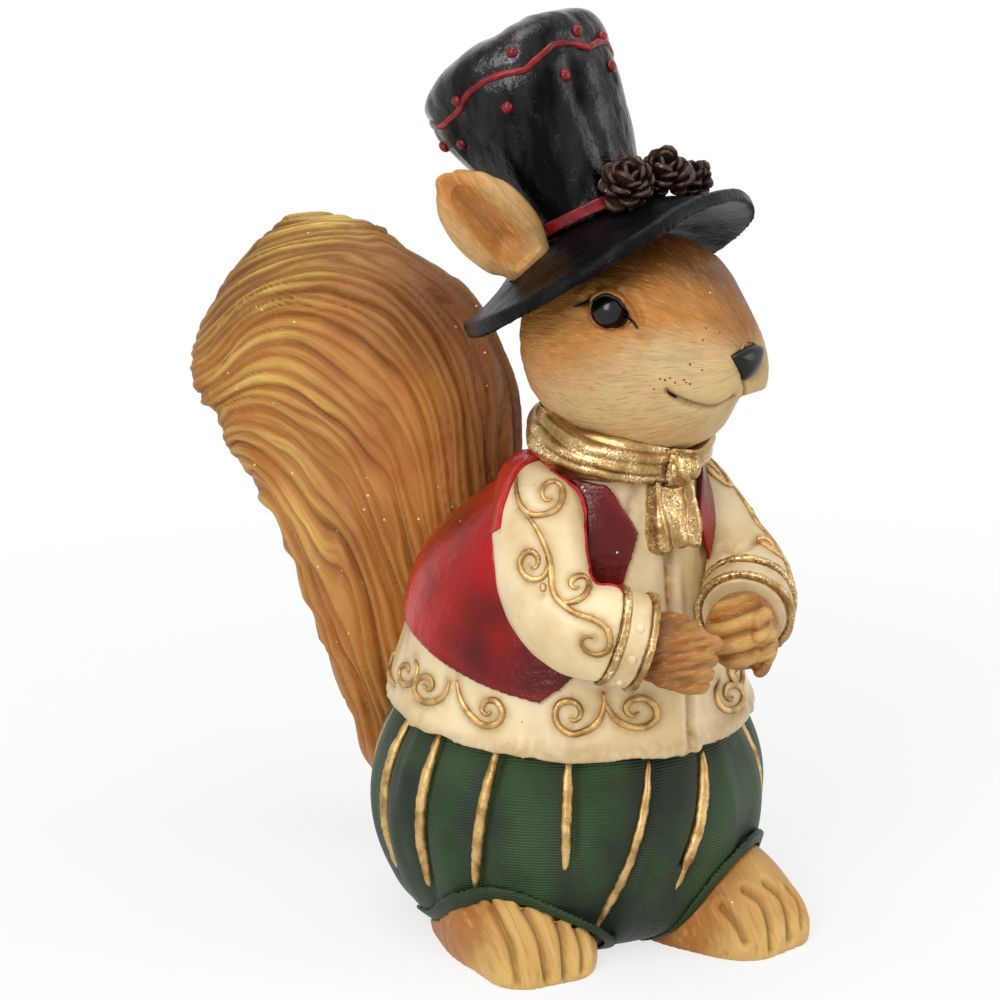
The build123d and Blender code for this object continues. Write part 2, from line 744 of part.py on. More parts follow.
def tail_form(grow=0):
    """Tall brush of a tail in a plane turned from the body's."""
    rows = []
    for row in TAIL_SHARES:
        if TAIL_HALF_WIDTH * row[3] + grow > 0 and TAIL_HALF_THICKNESS * row[2] + grow > 0:
            rows.append(row)
    sections = []
    root = Pos(0, BREECHES_HALF_DEPTH - TAIL_INSET, TAIL_BOTTOM) * Rot(0, 0, TAIL_TURN)
    for index, (level, sweep, thickness, width) in enumerate(rows):
        rise = TAIL_HEIGHT * level + end_shift(index, rows, grow)
        place = root * Pos(0, TAIL_SWEEP * sweep, rise)
        half_thickness = TAIL_HALF_THICKNESS * thickness + grow
        half_width = TAIL_HALF_WIDTH * width + grow
        sections.append(oval(place, half_thickness, half_width))
    return loft(sections)


def make_tail():
    tail = tail_form() - tail_form(-TAIL_WALL)
    tail -= shirt_form(WAISTCOAT_THICKNESS + GLUE_LINE)
    tail -= breeches_form(GLUE_LINE)
    return tail - dowel(TAIL_DOWEL_PLACE, GLUE_LINE)


def eye_place(side):
    return HEAD_PLACE * Pos(
        side * HEAD_HALF_WIDTH * EYE_SIDE_SHARE,
        -HEAD_FRONT * EYE_FRONT_SHARE,
        HEAD_HALF_HEIGHT * EYE_RISE_SHARE,
    )


def nose_form(grow=0):
    rise = HEAD_HALF_HEIGHT * NOSE_RISE_SHARE
    place = HEAD_PLACE * Pos(0, -HEAD_FRONT * NOSE_FRONT_SHARE, rise) * Rot(90, 0, 0)
    return spheroid(place, NOSE_RADIUS + grow, NOSE_HALF_DEPTH + grow)


def make_head():
    """Head with its eyes and nose."""
    eyes = {}
    head = head_form() - brim_slab(-GLUE_LINE, OVERRUN)
    for side, name in ((-1, "eye_right"), (1, "eye_left")):
        eyes[name] = eye_place(side) * Sphere(EYE_RADIUS)
        head -= eye_place(side) * Sphere(EYE_RADIUS + GLUE_LINE)
    head -= nose_form(GLUE_LINE)
    head -= [dowel(NECK_DOWEL_PLACE, GLUE_LINE), dowel(HAT_DOWEL_PLACE, GLUE_LINE)]
    return {"head": head, "nose": nose_form(), **eyes}


def make_body():
    """Shirt and waistcoat."""
    shirt = shirt_form() - below(SHIRT_HEM, SHIRT_HEM_TILT) - breeches_form(GLUE_LINE)
    shirt -= shirt_form(-SHIRT_WALL) - below(BREECHES_HEIGHT + SHIRT_WALL)
    shirt -= head_form(GLUE_LINE)
    shirt -= dowel(NECK_DOWEL_PLACE, GLUE_LINE)
    waistcoat = shirt_form(WAISTCOAT_THICKNESS) - shirt_form(GLUE_LINE) - front_opening()
    waistcoat -= below(SHIRT_HEM + SHIRT_HEIGHT * WAISTCOAT_HEM_SHARE, WAISTCOAT_HEM_TILT)
    waistcoat -= scarf_form(GLUE_LINE)
    waistcoat -= sleeve_form(RIGHT_ARM_SHARES, cuff_place(RIGHT_CUFF_SHARES), GLUE_LINE)
    waistcoat -= sleeve_form(LEFT_ARM_SHARES, cuff_place(LEFT_CUFF_SHARES), GLUE_LINE)
    return {"shirt": shirt, "waistcoat": waistcoat}


def make_underside_pieces():
    breeches, cover = make_underside()
    return {"breeches": breeches, "base_cover": cover}


def make_hidden_pieces():
    """Tail and the dowels that locate neck, hat and tail."""
    return {
        "tail": make_tail(),
        "neck_dowel": dowel(NECK_DOWEL_PLACE),
        "hat_dowel": dowel(HAT_DOWEL_PLACE),
        "tail_dowel": dowel(TAIL_DOWEL_PLACE),
    }


MAKERS = (
    make_underside_pieces,
    make_legs,
    make_body,
    make_arms,
    make_scarf,
    make_head,
    make_ears,
    make_hat,
    make_hidden_pieces,
)

for make in MAKERS:
    for name, piece in make().items():
        solids = piece.solids()
        print(name, len(solids), "solid", round(piece.volume), "mm3")
        export_step(piece, "parts/" + name + ".step")
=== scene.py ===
# %% [markdown]
# # A painted resin squirrel
# The real object is a hollow resin casting, about 245 mm high, painted by hand.
# The CAD model gives every piece its size and place. Here each piece gets the
# relief of the carved master (locks of fur, folds, scrolls) and its paint.

# %% Load the frame
import itertools
import math

import bpy
import numpy as np
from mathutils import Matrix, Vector
from mathutils.bvhtree import BVHTree


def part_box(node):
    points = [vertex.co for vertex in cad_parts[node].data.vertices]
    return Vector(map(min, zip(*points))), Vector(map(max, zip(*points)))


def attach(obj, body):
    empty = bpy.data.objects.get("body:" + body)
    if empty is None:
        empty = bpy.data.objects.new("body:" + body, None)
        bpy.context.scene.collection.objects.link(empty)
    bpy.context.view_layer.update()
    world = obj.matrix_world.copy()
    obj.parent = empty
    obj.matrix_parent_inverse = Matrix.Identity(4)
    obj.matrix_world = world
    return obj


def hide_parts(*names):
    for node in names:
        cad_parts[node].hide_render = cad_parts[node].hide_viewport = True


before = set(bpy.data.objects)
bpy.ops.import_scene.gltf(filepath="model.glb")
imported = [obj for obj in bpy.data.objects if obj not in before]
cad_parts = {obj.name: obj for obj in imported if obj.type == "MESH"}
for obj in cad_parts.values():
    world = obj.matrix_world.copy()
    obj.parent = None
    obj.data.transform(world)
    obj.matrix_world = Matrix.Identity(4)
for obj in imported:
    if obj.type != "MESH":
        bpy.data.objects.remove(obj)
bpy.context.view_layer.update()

# %% [markdown]
# ## Camera
# A product photograph is taken from far away with a long lens, so that the
# proportions stay true. The lens and the shift come from fitting the CAD model
# to the picture: 39 degrees round to the squirrel's right and 15 degrees up.

# %% Camera and the ray through a photograph pixel
PHOTO_WIDTH = 1000
PHOTO_AXIS = (567, 460)
PHOTO_FOCAL = 3402
SENSOR_MM = 36
AIM = Vector((0, 0, 0.125))
DISTANCE = 0.9
AZIMUTH = math.radians(39)
ELEVATION = math.radians(15)

backward = Vector((
    -math.sin(AZIMUTH) * math.cos(ELEVATION),
    -math.cos(AZIMUTH) * math.cos(ELEVATION),
    math.sin(ELEVATION),
))


def add_object(name, data):
    made = bpy.data.objects.new(name, data)
    bpy.context.scene.collection.objects.link(made)
    return made


camera_data = bpy.data.cameras.new("camera")
camera_data.lens = PHOTO_FOCAL * SENSOR_MM / PHOTO_WIDTH
camera_data.sensor_width = SENSOR_MM
camera_data.shift_x = (PHOTO_WIDTH / 2 - PHOTO_AXIS[0]) / PHOTO_WIDTH
camera_data.shift_y = (PHOTO_AXIS[1] - PHOTO_WIDTH / 2) / PHOTO_WIDTH
camera = add_object("camera", camera_data)
camera.location = AIM + backward * DISTANCE
camera.rotation_euler = (-backward).to_track_quat("-Z", "Y").to_euler()
bpy.context.scene.camera = camera
CAMERA_RIGHT = np.array((math.cos(AZIMUTH), -math.sin(AZIMUTH), 0.0))
CAMERA_UP = np.cross(np.array(backward), CAMERA_RIGHT)


def pixel_ray(pixel):
    """Start and direction of the line of sight through a photograph pixel."""
    across = pixel[0] - PHOTO_AXIS[0]
    down = pixel[1] - PHOTO_AXIS[1]
    way = -np.array(backward) * PHOTO_FOCAL + CAMERA_RIGHT * across - CAMERA_UP * down
    return np.array(camera.location), way / np.linalg.norm(way)


def pixels_of(spots):
    """Photograph pixel of each point given in millimetres."""
    way = np.asarray(spots) * 0.001 - np.array(camera.location)
    depth = -(way @ np.array(backward))
    return np.stack((PHOTO_AXIS[0] + PHOTO_FOCAL * (way @ CAMERA_RIGHT) / depth,
                     PHOTO_AXIS[1] - PHOTO_FOCAL * (way @ CAMERA_UP) / depth), axis=1)


print("lens", round(camera_data.lens, 1), "mm")

# %% [markdown]
# ## Light and floor
# Soft boxes on both sides and a bright room give a catalogue picture: no hard
# shadow, and long pale highlights on the gloss paint. The floor and the room
# look white to the camera and to reflections, without adding light.

# %% Lamps, room and floor
def hex_to_linear(code):
    """sRGB hex colour, as a designer names it, turned to the linear values of a shader."""
    channels = [int(code[index:index + 2], 16) / 255 for index in (0, 2, 4)]
    linear = [c / 12.92 if c <= 0.04045 else ((c + 0.055) / 1.055) ** 2.4 for c in channels]
    return (*linear, 1.0)


def empty_tree(owner):
    """Node tree of a material or a world, without its nodes."""
    owner.use_nodes = True
    owner.node_tree.nodes.clear()
    return owner.node_tree


def add_node(tree, kind, sockets=None, **settings):
    """Adds one node; a socket takes a plain value or another node's output."""
    node = tree.nodes.new(kind)
    for name, value in settings.items():
        setattr(node, name, value)
    for key, value in (sockets or {}).items():
        if isinstance(value, bpy.types.NodeSocket):
            tree.links.new(value, node.inputs[key])
        else:
            node.inputs[key].default_value = value
    return node


def calculate(tree, operation, first, second=0.0):
    return add_node(tree, "ShaderNodeMath", {0: first, 1: second},
                    operation=operation).outputs[0]


def stretch(tree, value, low, high, to_low=0.0, to_high=1.0):
    return add_node(tree, "ShaderNodeMapRange", {
        0: value, 1: low, 2: high, 3: to_low, 4: to_high}).outputs[0]


def times(tree, first, second):
    return calculate(tree, "MULTIPLY", first, second)


def soft_box(name, place, size, power):
    lamp = bpy.data.lights.new(name, "AREA")
    lamp.shape = "RECTANGLE"
    lamp.size, lamp.size_y = size
    lamp.energy = power
    lamp_object = add_object(name, lamp)
    lamp_object.location = place
    way = AIM - Vector(place)
    lamp_object.rotation_euler = way.to_track_quat("-Z", "Y").to_euler()


soft_box("key_box", (-0.95, -0.55, 0.75), (0.5, 0.7), 8.6)
soft_box("fill_box", (0.75, -0.85, 0.40), (0.5, 0.8), 3.6)
soft_box("top_box", (-0.1, -0.1, 1.2), (0.7, 0.7), 6.0)


def seen_or_mirrored(tree):
    """1 for the camera, and for rays that gloss or glass sends on; 0 for the rays that light."""
    rays = add_node(tree, "ShaderNodeLightPath").outputs
    both = calculate(tree, "MAXIMUM", rays["Is Camera Ray"], rays["Is Glossy Ray"])
    return calculate(tree, "MAXIMUM", both, rays["Is Transmission Ray"])


world = bpy.data.worlds.new("white_room")
bpy.context.scene.world = world
tree = empty_tree(world)
room = add_node(tree, "ShaderNodeBackground", {"Color": (1, 1, 1, 1), "Strength": 0.33})
white = add_node(tree, "ShaderNodeBackground", {"Color": (1, 1, 1, 1), "Strength": 1.0})
seen = add_node(tree, "ShaderNodeMixShader", {
    0: seen_or_mirrored(tree), 1: room.outputs[0], 2: white.outputs[0]})
add_node(tree, "ShaderNodeOutputWorld", {"Surface": seen.outputs[0]})

floor_paint = bpy.data.materials.new("white_paper")
tree = empty_tree(floor_paint)
paper = add_node(tree, "ShaderNodeBsdfDiffuse", {"Color": hex_to_linear("f4f4f4")})
glow = add_node(tree, "ShaderNodeEmission", {"Color": (1, 1, 1, 1), "Strength": 1.0})
# near the object the paper keeps its shadow; further out it fades to plain white
position = add_node(tree, "ShaderNodeNewGeometry").outputs["Position"]
gap = add_node(tree, "ShaderNodeVectorMath", {0: position}, operation="LENGTH").outputs["Value"]
share = times(tree, seen_or_mirrored(tree), stretch(tree, gap, 0.12, 0.42, 0.74, 1.0))
mixed = add_node(tree, "ShaderNodeMixShader", {
    0: share, 1: paper.outputs[0], 2: glow.outputs[0]})
add_node(tree, "ShaderNodeOutputMaterial", {"Surface": mixed.outputs[0]})
floor_mesh = bpy.data.meshes.new("floor")
REACH = 3.0
floor_mesh.from_pydata(
    [(-REACH, -REACH, 0), (REACH, -REACH, 0), (REACH, REACH, 0), (-REACH, REACH, 0)],
    [], [(0, 1, 2, 3)])
floor_mesh.materials.append(floor_paint)
floor = add_object("floor", floor_mesh)

# %% [markdown]
# ## From a CAD solid to a carved casting
# Real relief is cut in a clay master before the mould is made. A voxel remesh
# gives each CAD solid an even skin of small faces, with the soft edges of a
# casting. Then numpy moves every point along its normal, in millimetres.

# %% Recasting and relief helpers
MM = 0.001
FAR = 1e9


def lengths_of(ways):
    return np.linalg.norm(ways, axis=1)


def joined(*parts):
    """Numbers side by side, one row for each point."""
    return np.stack(parts, axis=1)


def unit(ways):
    """One way, or each of several, brought to a length of 1."""
    return ways / np.linalg.norm(ways, axis=-1, keepdims=True)


def recast(node, voxel, plug=None, soft=3):
    """Even skin over a CAD solid; where a dowel plugs its hole, the hollow inside is left out."""
    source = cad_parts[node]
    mesh = source.data.copy()
    if plug:
        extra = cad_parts[plug].data
        start = len(mesh.vertices)
        points = [v.co[:] for v in mesh.vertices] + [v.co[:] for v in extra.vertices]
        faces = [tuple(p.vertices) for p in mesh.polygons]
        faces += [tuple(v + start for v in p.vertices) for p in extra.polygons]
        mesh = bpy.data.meshes.new(node)
        mesh.from_pydata(points, [], faces)
    mesh.materials.clear()
    piece = add_object(node + "_cast", mesh)
    weld = piece.modifiers.new("weld", "WELD")
    weld.merge_threshold = 0.00001
    skin = piece.modifiers.new("skin", "REMESH")
    skin.mode = "VOXEL"
    skin.voxel_size = voxel * MM
    soften = piece.modifiers.new("soften", "SMOOTH")
    soften.iterations = soft
    bpy.context.view_layer.update()
    cast = bpy.data.meshes.new_from_object(
        piece.evaluated_get(bpy.context.evaluated_depsgraph_get()))
    piece.modifiers.clear()
    piece.data = outer_skin(cast) if plug else cast
    for face in piece.data.polygons:
        face.use_smooth = True
    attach(piece, "root")
    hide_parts(node)
    print(node, "cast with", len(piece.data.polygons), "faces")
    return piece


def outer_skin(mesh):
    """Keeps the widest of a mesh's separate skins, which leaves out a sealed hollow."""
    first, second = edge_ends(mesh)
    label = np.arange(len(mesh.vertices))
    while True:
        low = np.minimum(label[first], label[second])
        fresh = label.copy()
        np.minimum.at(fresh, first, low)
        np.minimum.at(fresh, second, low)
        fresh = fresh[fresh]
        if (fresh == label).all():
            break
        label = fresh
    points = vectors_of(mesh.vertices, "co")
    names = np.unique(label)
    if len(names) == 1:
        return mesh
    spans = [np.ptp(points[label == name], axis=0).sum() for name in names]
    keep = label == names[int(np.argmax(spans))]
    order = np.cumsum(keep) - 1
    faces = [tuple(int(order[v]) for v in p.vertices)
             for p in mesh.polygons if keep[p.vertices[0]]]
    skin = bpy.data.meshes.new(mesh.name)
    skin.from_pydata(points[keep].tolist(), [], faces)
    return skin


def vectors_of(items, field):
    flat = np.zeros(len(items) * 3, np.float32)
    items.foreach_get(field, flat)
    return flat.reshape(-1, 3).astype(float)


def points_mm(piece):
    return vectors_of(piece.data.vertices, "co") / MM


def normals(piece):
    return vectors_of(piece.data.vertex_normals, "vector")


def edge_ends(mesh):
    """First and second vertex of every edge."""
    ends = np.zeros(len(mesh.edges) * 2, int)
    mesh.edges.foreach_get("vertices", ends)
    return ends.reshape(-1, 2).T


def move_to(piece, points):
    piece.data.vertices.foreach_set("co", (points * MM).astype(np.float32).ravel())
    piece.data.update()


def carve(piece, depth):
    """Moves every point along its normal by its own depth in millimetres."""
    move_to(piece, points_mm(piece) + normals(piece) * depth[:, None])


def note(piece, name, values):
    """Stores a number or a vector per point, which the paint reads."""
    kind = "FLOAT" if values.ndim == 1 else "FLOAT_VECTOR"
    layer = piece.data.attributes.new(name, kind, "POINT")
    field = "value" if values.ndim == 1 else "vector"
    layer.data.foreach_set(field, values.astype(np.float32).ravel())


def note_shares(piece, **shares):
    """Stores numbers that the paint reads as shares, kept between 0 and 1."""
    for name, values in shares.items():
        note(piece, name, np.clip(values, 0, 1))


def noise(points, size, seed=0):
    """Smooth random numbers from -1 to 1 that change over a size, or one per axis, in mm."""
    scaled = points / size + seed * 7.31
    cell = np.floor(scaled)
    part = scaled - cell
    part = part * part * (3 - 2 * part)
    total = np.zeros(len(points))
    for corner in itertools.product((0, 1), repeat=points.shape[1]):
        spot = (cell + corner) @ np.array((127.1, 311.7, 74.7))[:points.shape[1]]
        value = np.modf(np.abs(np.sin(spot) * 43758.5453))[0] * 2 - 1
        weight = np.where(corner, part, 1 - part).prod(axis=1)
        total += value * weight
    return total


def hill(distance, width):
    """Bell curve that is 1 at distance 0."""
    return np.exp(-(distance / width) ** 2)


def ramp(value, low, high):
    share = np.clip((value - low) / (high - low), 0, 1)
    return share * share * (3 - 2 * share)


def path_distance(points, path):
    """Distance from each point to a path of straight runs."""
    best = np.full(len(points), FAR)
    path = np.asarray(path, float)
    for start, end, run in zip(path[:-1], path[1:], lengths_of(np.diff(path, axis=0))):
        way = (end - start) / run
        step = np.clip((points - start) @ way, 0, run)
        best = np.fmin(best, lengths_of(points - start - step[:, None] * way))
    return best


def smooth_path(path, count):
    """Evenly spaced points on a curve through a few given ones."""
    path = np.asarray(path, float)
    padded = np.vstack((2 * path[0] - path[1], path, 2 * path[-1] - path[-2]))
    fine = []
    for index in range(len(path) - 1):
        a, b, c, d = padded[index:index + 4]
        for t in np.linspace(0, 1, 12, endpoint=False):
            fine.append(0.5 * (2 * b + (c - a) * t + (2 * a - 5 * b + 4 * c - d) * t * t
                               + (3 * b - a - 3 * c + d) * t ** 3))
    fine.append(path[-1])
    fine = np.array(fine)
    runs = np.concatenate(([0], np.cumsum(lengths_of(np.diff(fine, axis=0)))))
    stops = np.linspace(0, runs[-1], count)
    return np.stack([np.interp(stops, runs, fine[:, k]) for k in range(fine.shape[1])], axis=1)


def surface_of(piece):
    """Search tree over a piece, in millimetres."""
    return BVHTree.FromPolygons(points_mm(piece).tolist(),
                                [tuple(face.vertices) for face in piece.data.polygons])


def ray_on(surface, start, way):
    """Point and normal where a line from a place, in millimetres, meets a surface."""
    spot, normal, _, _ = surface.ray_cast(Vector(start), Vector(way))
    return (None, None) if spot is None else (np.array(spot), np.array(normal))


def pixel_on(surface, pixel):
    """Point and normal where the line of sight through a pixel meets a surface."""
    start, way = pixel_ray(pixel)
    return ray_on(surface, start / MM, way)


def pixels_on(surface, pixels, count=None):
    """Points where lines of sight meet a surface; with a count, along a smooth path."""
    if count:
        pixels = smooth_path(pixels, count)
    hits = [pixel_on(surface, pixel) for pixel in pixels]
    return np.array([spot for spot, _ in hits if spot is not None])


def gaps_to(surface, spots, lines, count=None):
    """Distance of the spots to each line of the picture that meets the surface."""
    for line in lines:
        traced = pixels_on(surface, line, count)
        if len(traced) > 1:
            yield path_distance(spots, traced)


print("helpers ready")

# %% [markdown]
# ## Paint
# The real colours are matt acrylic coats, rubbed back so that dark wash stays in the hollows and a pale
# dry brush catches the crests, under one thin coat of satin varnish. So each paint here is a ground
# colour under coats, and the share of a coat comes from the relief that the carving noted, from fine
# strokes along the combing direction, or from sparse glitter flecks. Some coats are painted shade, on
# the tail, breeches, shirt, waistcoat and head, and some are painted highlights, on the waistcoat's
# edges.

# %% Paint helpers
def coats(tree, ground, *layers):
    """Ground colour under coats of paint, each a (share, colour); colours are sRGB hex codes."""
    tone = hex_to_linear(ground)
    for share, colour in layers:
        tone = add_node(tree, "ShaderNodeMix", {0: share, 6: tone, 7: hex_to_linear(colour)},
                        data_type="RGBA").outputs[2]
    return tone


def noted(tree, name, output="Fac"):
    return add_node(tree, "ShaderNodeAttribute", attribute_name=name).outputs[output]


def scaled(tree, place, scale, turn=(0.0, 0.0, 0.0)):
    return add_node(tree, "ShaderNodeMapping", {
        "Vector": place, "Rotation": turn, "Scale": scale}).outputs[0]


def speckle(tree, place, scale, detail=2.0, roughness=0.5, distortion=0.0):
    """Soft random spots, about 1000 / scale millimetres wide where place is in metres."""
    return add_node(tree, "ShaderNodeTexNoise", {
        "Vector": place, "Scale": scale, "Detail": detail, "Roughness": roughness,
        "Distortion": distortion}).outputs["Fac"]


def lay_paint(tree, shader, tone, height=None, strength=0.0, depth=0.0):
    """Joins the colour, and a bump of a depth in metres, to the shader."""
    tree.links.new(tone, shader.inputs["Base Color"])
    if height is not None:
        bump = add_node(tree, "ShaderNodeBump", {
            "Height": height, "Strength": strength, "Distance": depth})
        tree.links.new(bump.outputs[0], shader.inputs["Normal"])


def dress(piece, paint):
    """Gives a piece its paint."""
    piece.data.materials.append(paint)


def new_paint(name, roughness, ior=1.36, metallic=0.0, coat=0.0):
    """Empty material with a Principled shader whose plain numbers are set on it."""
    paint = bpy.data.materials.new(name)
    tree = empty_tree(paint)
    shader = add_node(tree, "ShaderNodeBsdfPrincipled", {
        "Roughness": roughness, "IOR": ior, "Metallic": metallic,
        "Coat Weight": coat, "Coat Roughness": 0.12})
    add_node(tree, "ShaderNodeOutputMaterial", {"Surface": shader.outputs[0]})
    place = add_node(tree, "ShaderNodeTexCoord").outputs["Object"]
    return paint, tree, shader, place


def flat_paint(name, colour, roughness, **numbers):
    paint, _, shader, _ = new_paint(name, roughness, **numbers)
    shader.inputs["Base Color"].default_value = hex_to_linear(colour)
    return paint


def flecks(tree, place, spacing_mm, size_mm, keep):
    """Mask of sparse round glitter grains; keep is the share of cells that hold one."""
    cells = add_node(tree, "ShaderNodeTexVoronoi", {
        "Vector": place, "Scale": 1000 / spacing_mm})
    near = calculate(tree, "LESS_THAN", cells.outputs["Distance"], size_mm / spacing_mm)
    pick = add_node(tree, "ShaderNodeSeparateColor", {0: cells.outputs["Color"]})
    held = calculate(tree, "GREATER_THAN", pick.outputs[0], 1 - keep)
    return times(tree, near, held)


print("paint helpers ready")

# %% [markdown]
# ## Tail
# Cast resin, carved as long locks that rise from the root, sweep over the top
# and end in tips along the back edge. A row of locks traced from the picture
# is numbered from the back to the front, and a thin plate spline spreads those
# numbers over the whole tail: lines of equal number are the strands. Ridges of
# three widths are then cut along them.

# %% Tail carving
TAIL_TURN = math.radians(26)
TAIL_ROOT = np.array((0.0, 45.0, 14.0))
TAIL_ACROSS = np.array((math.cos(TAIL_TURN), math.sin(TAIL_TURN), 0.0))
TAIL_BACK = np.array((-math.sin(TAIL_TURN), math.cos(TAIL_TURN), 0.0))
TAIL_FACE_MM = -15.0
SPLINE_SLACK = 420.0
LOCK_PIXELS = (
    ((370, 775), (335, 705), (322, 650), (300, 615), (287, 550), (260, 500), (243, 470)),
    ((378, 700), (350, 640), (330, 600), (305, 550), (275, 505), (250, 480)),
    ((395, 600), (375, 560), (345, 520), (315, 480), (280, 445), (240, 425), (222, 415)),
    ((405, 580), (400, 540), (380, 495), (350, 450), (315, 415), (280, 392), (245, 392), (222, 410)),
    ((420, 550), (417, 510), (400, 460), (370, 415), (335, 385), (295, 365), (255, 360), (225, 375)),
    ((435, 530), (435, 480), (420, 425), (390, 375), (355, 340), (310, 320), (260, 322),
     (230, 345), (210, 370)),
    ((452, 500), (455, 450), (445, 400), (420, 355), (390, 320), (345, 295), (295, 285),
     (250, 295), (215, 325), (197, 360)),
    ((470, 480), (475, 430), (467, 385), (450, 340), (420, 300), (380, 265), (335, 255),
     (280, 265), (235, 290)),
    ((485, 470), (495, 425), (490, 380), (475, 335), (450, 290), (410, 250), (365, 230),
     (315, 235), (265, 255)),
    ((505, 460), (520, 415), (510, 370), (495, 335), (475, 300), (445, 265), (400, 235),
     (365, 222), (330, 220), (290, 230)),
)


def tail_plane(pixel):
    """Where a line of sight meets the tail's near face: back and up, in millimetres."""
    start, way = pixel_ray(pixel)
    start = start / MM - TAIL_ROOT
    spot = start + way * ((TAIL_FACE_MM - start @ TAIL_ACROSS) / (way @ TAIL_ACROSS))
    return spot @ TAIL_BACK, spot[2]


def plate_kernel(gap):
    return np.where(gap > 0, gap ** 2 * np.log(gap + 1e-9), 0.0)


def spread(knots, values):
    """Thin plate spline through numbered points of a plane; gives a function of new points."""
    knots, values = np.array(knots), np.array(values, float)
    gap = np.linalg.norm(knots[:, None] - knots[None], axis=2)
    flat = np.hstack((np.ones((len(knots), 1)), knots))
    stiff = plate_kernel(gap) + np.eye(len(knots)) * SPLINE_SLACK
    system = np.block([[stiff, flat], [flat.T, np.zeros((3, 3))]])
    weights = np.linalg.solve(system, np.concatenate((values, np.zeros(3))))

    def value_at(points):
        gaps = np.linalg.norm(points[:, None] - knots[None], axis=2)
        return plate_kernel(gaps) @ weights[:-3] + weights[-3] + points @ weights[-2:]
    return value_at


knots, numbers, lengths = [], [], []
for number, lock in enumerate(LOCK_PIXELS):
    spots = smooth_path([tail_plane(pixel) for pixel in lock], 12)
    runs = np.concatenate(([0], np.cumsum(lengths_of(np.diff(spots, axis=0)))))
    knots += spots.tolist()
    numbers += [number] * len(spots)
    lengths += (runs - runs[-1]).tolist()
strand_number = spread(knots, numbers)
strand_length = spread(knots, lengths)


def ridges(value, sharp=0.7):
    """Rounded crests with narrow clefts between them, from -1 to 1."""
    return np.abs(np.sin(np.pi * value)) ** sharp * 2 - 1


tail = recast("tail", 0.75, plug="tail_dowel")
spots = points_mm(tail)
local = spots - TAIL_ROOT
across = local @ TAIL_ACROSS
plane = joined(local @ TAIL_BACK, local[:, 2])
# jagged back edge: each lock's tip stands out, and the edge falls back below it
TIP_PIXELS = (((203, 398), 2.2), ((218, 417), 4.5), ((246, 468), 3.5), ((262, 512), 2.5),
              ((290, 562), 2.8), ((299, 610), 2.2), ((318, 655), 2.4), ((338, 712), 2.0))
back_normal = normals(tail) @ TAIL_BACK
fall = np.zeros(len(spots))
for pixel, depth in TIP_PIXELS:
    tip_height = tail_plane(pixel)[1]
    under = tip_height - spots[:, 2] + TAIL_ROOT[2] + noise(across[:, None], 14, 3) * 3
    fall += depth * ramp(under, -1.5, 2.5) * np.exp(-np.clip(under, 0, 99) / 16)
moved = spots - TAIL_BACK * (fall * ramp(back_normal, -0.1, 0.8))[:, None]
move_to(tail, moved)

# round the thin front rim more strands appear; behind the back rim, out of the picture,
# the locks run up the tail, and the relief of both kinds is blended, never their numbers
skin_ways = normals(tail)
rim = 1 - ramp(np.abs(skin_ways @ TAIL_ACROSS), 0.15, 0.60)
front_rim = rim * ramp(-(skin_ways @ TAIL_BACK), 0.2, 0.7)
back = rim * ramp(skin_ways @ TAIL_BACK, 0.30, 0.80)
unseen = 1 - ramp(skin_ways @ np.array(backward), -0.20, 0.05)
back = np.maximum(back, unseen * ramp(skin_ways @ TAIL_BACK, 0.10, 0.45))


def crowding(values):
    """How fast a value changes over the tail's surface, per millimetre, at each vertex."""
    first, second = edge_ends(tail.data)
    apart = np.maximum(lengths_of(spots[first] - spots[second]), 0.1)
    rate = np.abs(values[first] - values[second]) / apart
    found = np.zeros(len(values))
    np.maximum.at(found, first, rate)
    np.maximum.at(found, second, rate)
    return found


def strands(number, length):
    """Relief, crest and wandering number of locks; where they crowd, the small ones fade."""
    rate = crowding(number)
    flow = joined(number * 9, length)
    wander = number + 0.16 * noise(flow, (6, 22), 1) + 0.07 * noise(flow, (2.5, 10), 2)
    strength = 0.75 + 0.35 * noise(flow, (8, 30), 4)
    big = ridges(wander * 1.15 + 0.2, 0.8) * (1 - 0.6 * ramp(rate * 1.15, 0.35, 0.60))
    middle = ridges(wander * 2.9 + 0.35 * noise(flow, (7, 26), 5), 0.7)
    middle *= 1 - 0.85 * ramp(rate * 2.9, 0.42, 0.80)
    fine = ridges(wander * 6.3 + 0.5 * noise(flow, (3, 18), 6), 0.8)
    fine *= 1 - ramp(rate * 6.3, 0.60, 1.0)
    crest = np.clip(fine * 0.2 + middle * 0.9 + big * 0.4, -1.5, 1.5) / 1.5
    return (1.25 * big + 1.15 * middle + 0.14 * fine) * strength, crest, wander


traced_number = strand_number(plane)
number = traced_number + across * (0.055 + 0.16 * front_rim)
length = strand_length(plane)
side_relief, side_crest, side_wander = strands(number, length)
back_relief, back_crest, back_wander = strands(
    across / 8 + 4 + 0.5 * noise(spots, (40, 40, 55), 9), -spots[:, 2])
relief = side_relief * (1 - back) + back_relief * back
crest = side_crest * (1 - back) + back_crest * back
root_fade = ramp(spots[:, 2], 12, 40)
carve(tail, (relief - 1.1) * (0.35 + 0.65 * root_fade) * 0.85)
note(tail, "relief", relief / 2.4)
# the deep note is painted shade: the front strands, which face the body, are darker
note_shares(tail, deep=0.95 * ramp(traced_number, 4.7, 7.8))
note(tail, "crest", crest)
tip = ramp(length, -60, -5) * (1 - 0.65 * ramp(skin_ways @ TAIL_BACK, 0.20, 0.65))
note(tail, "tip", tip * (0.5 + 0.5 * noise(joined(number * 9, length), (5, 20), 8)))
behind = back > 0.5
note(tail, "comb", joined(np.where(behind, -spots[:, 2], length),
                          np.where(behind, back_wander, side_wander) * 11, across * 0))
print("tail strands", round(number.min(), 1), "to", round(number.max(), 1))
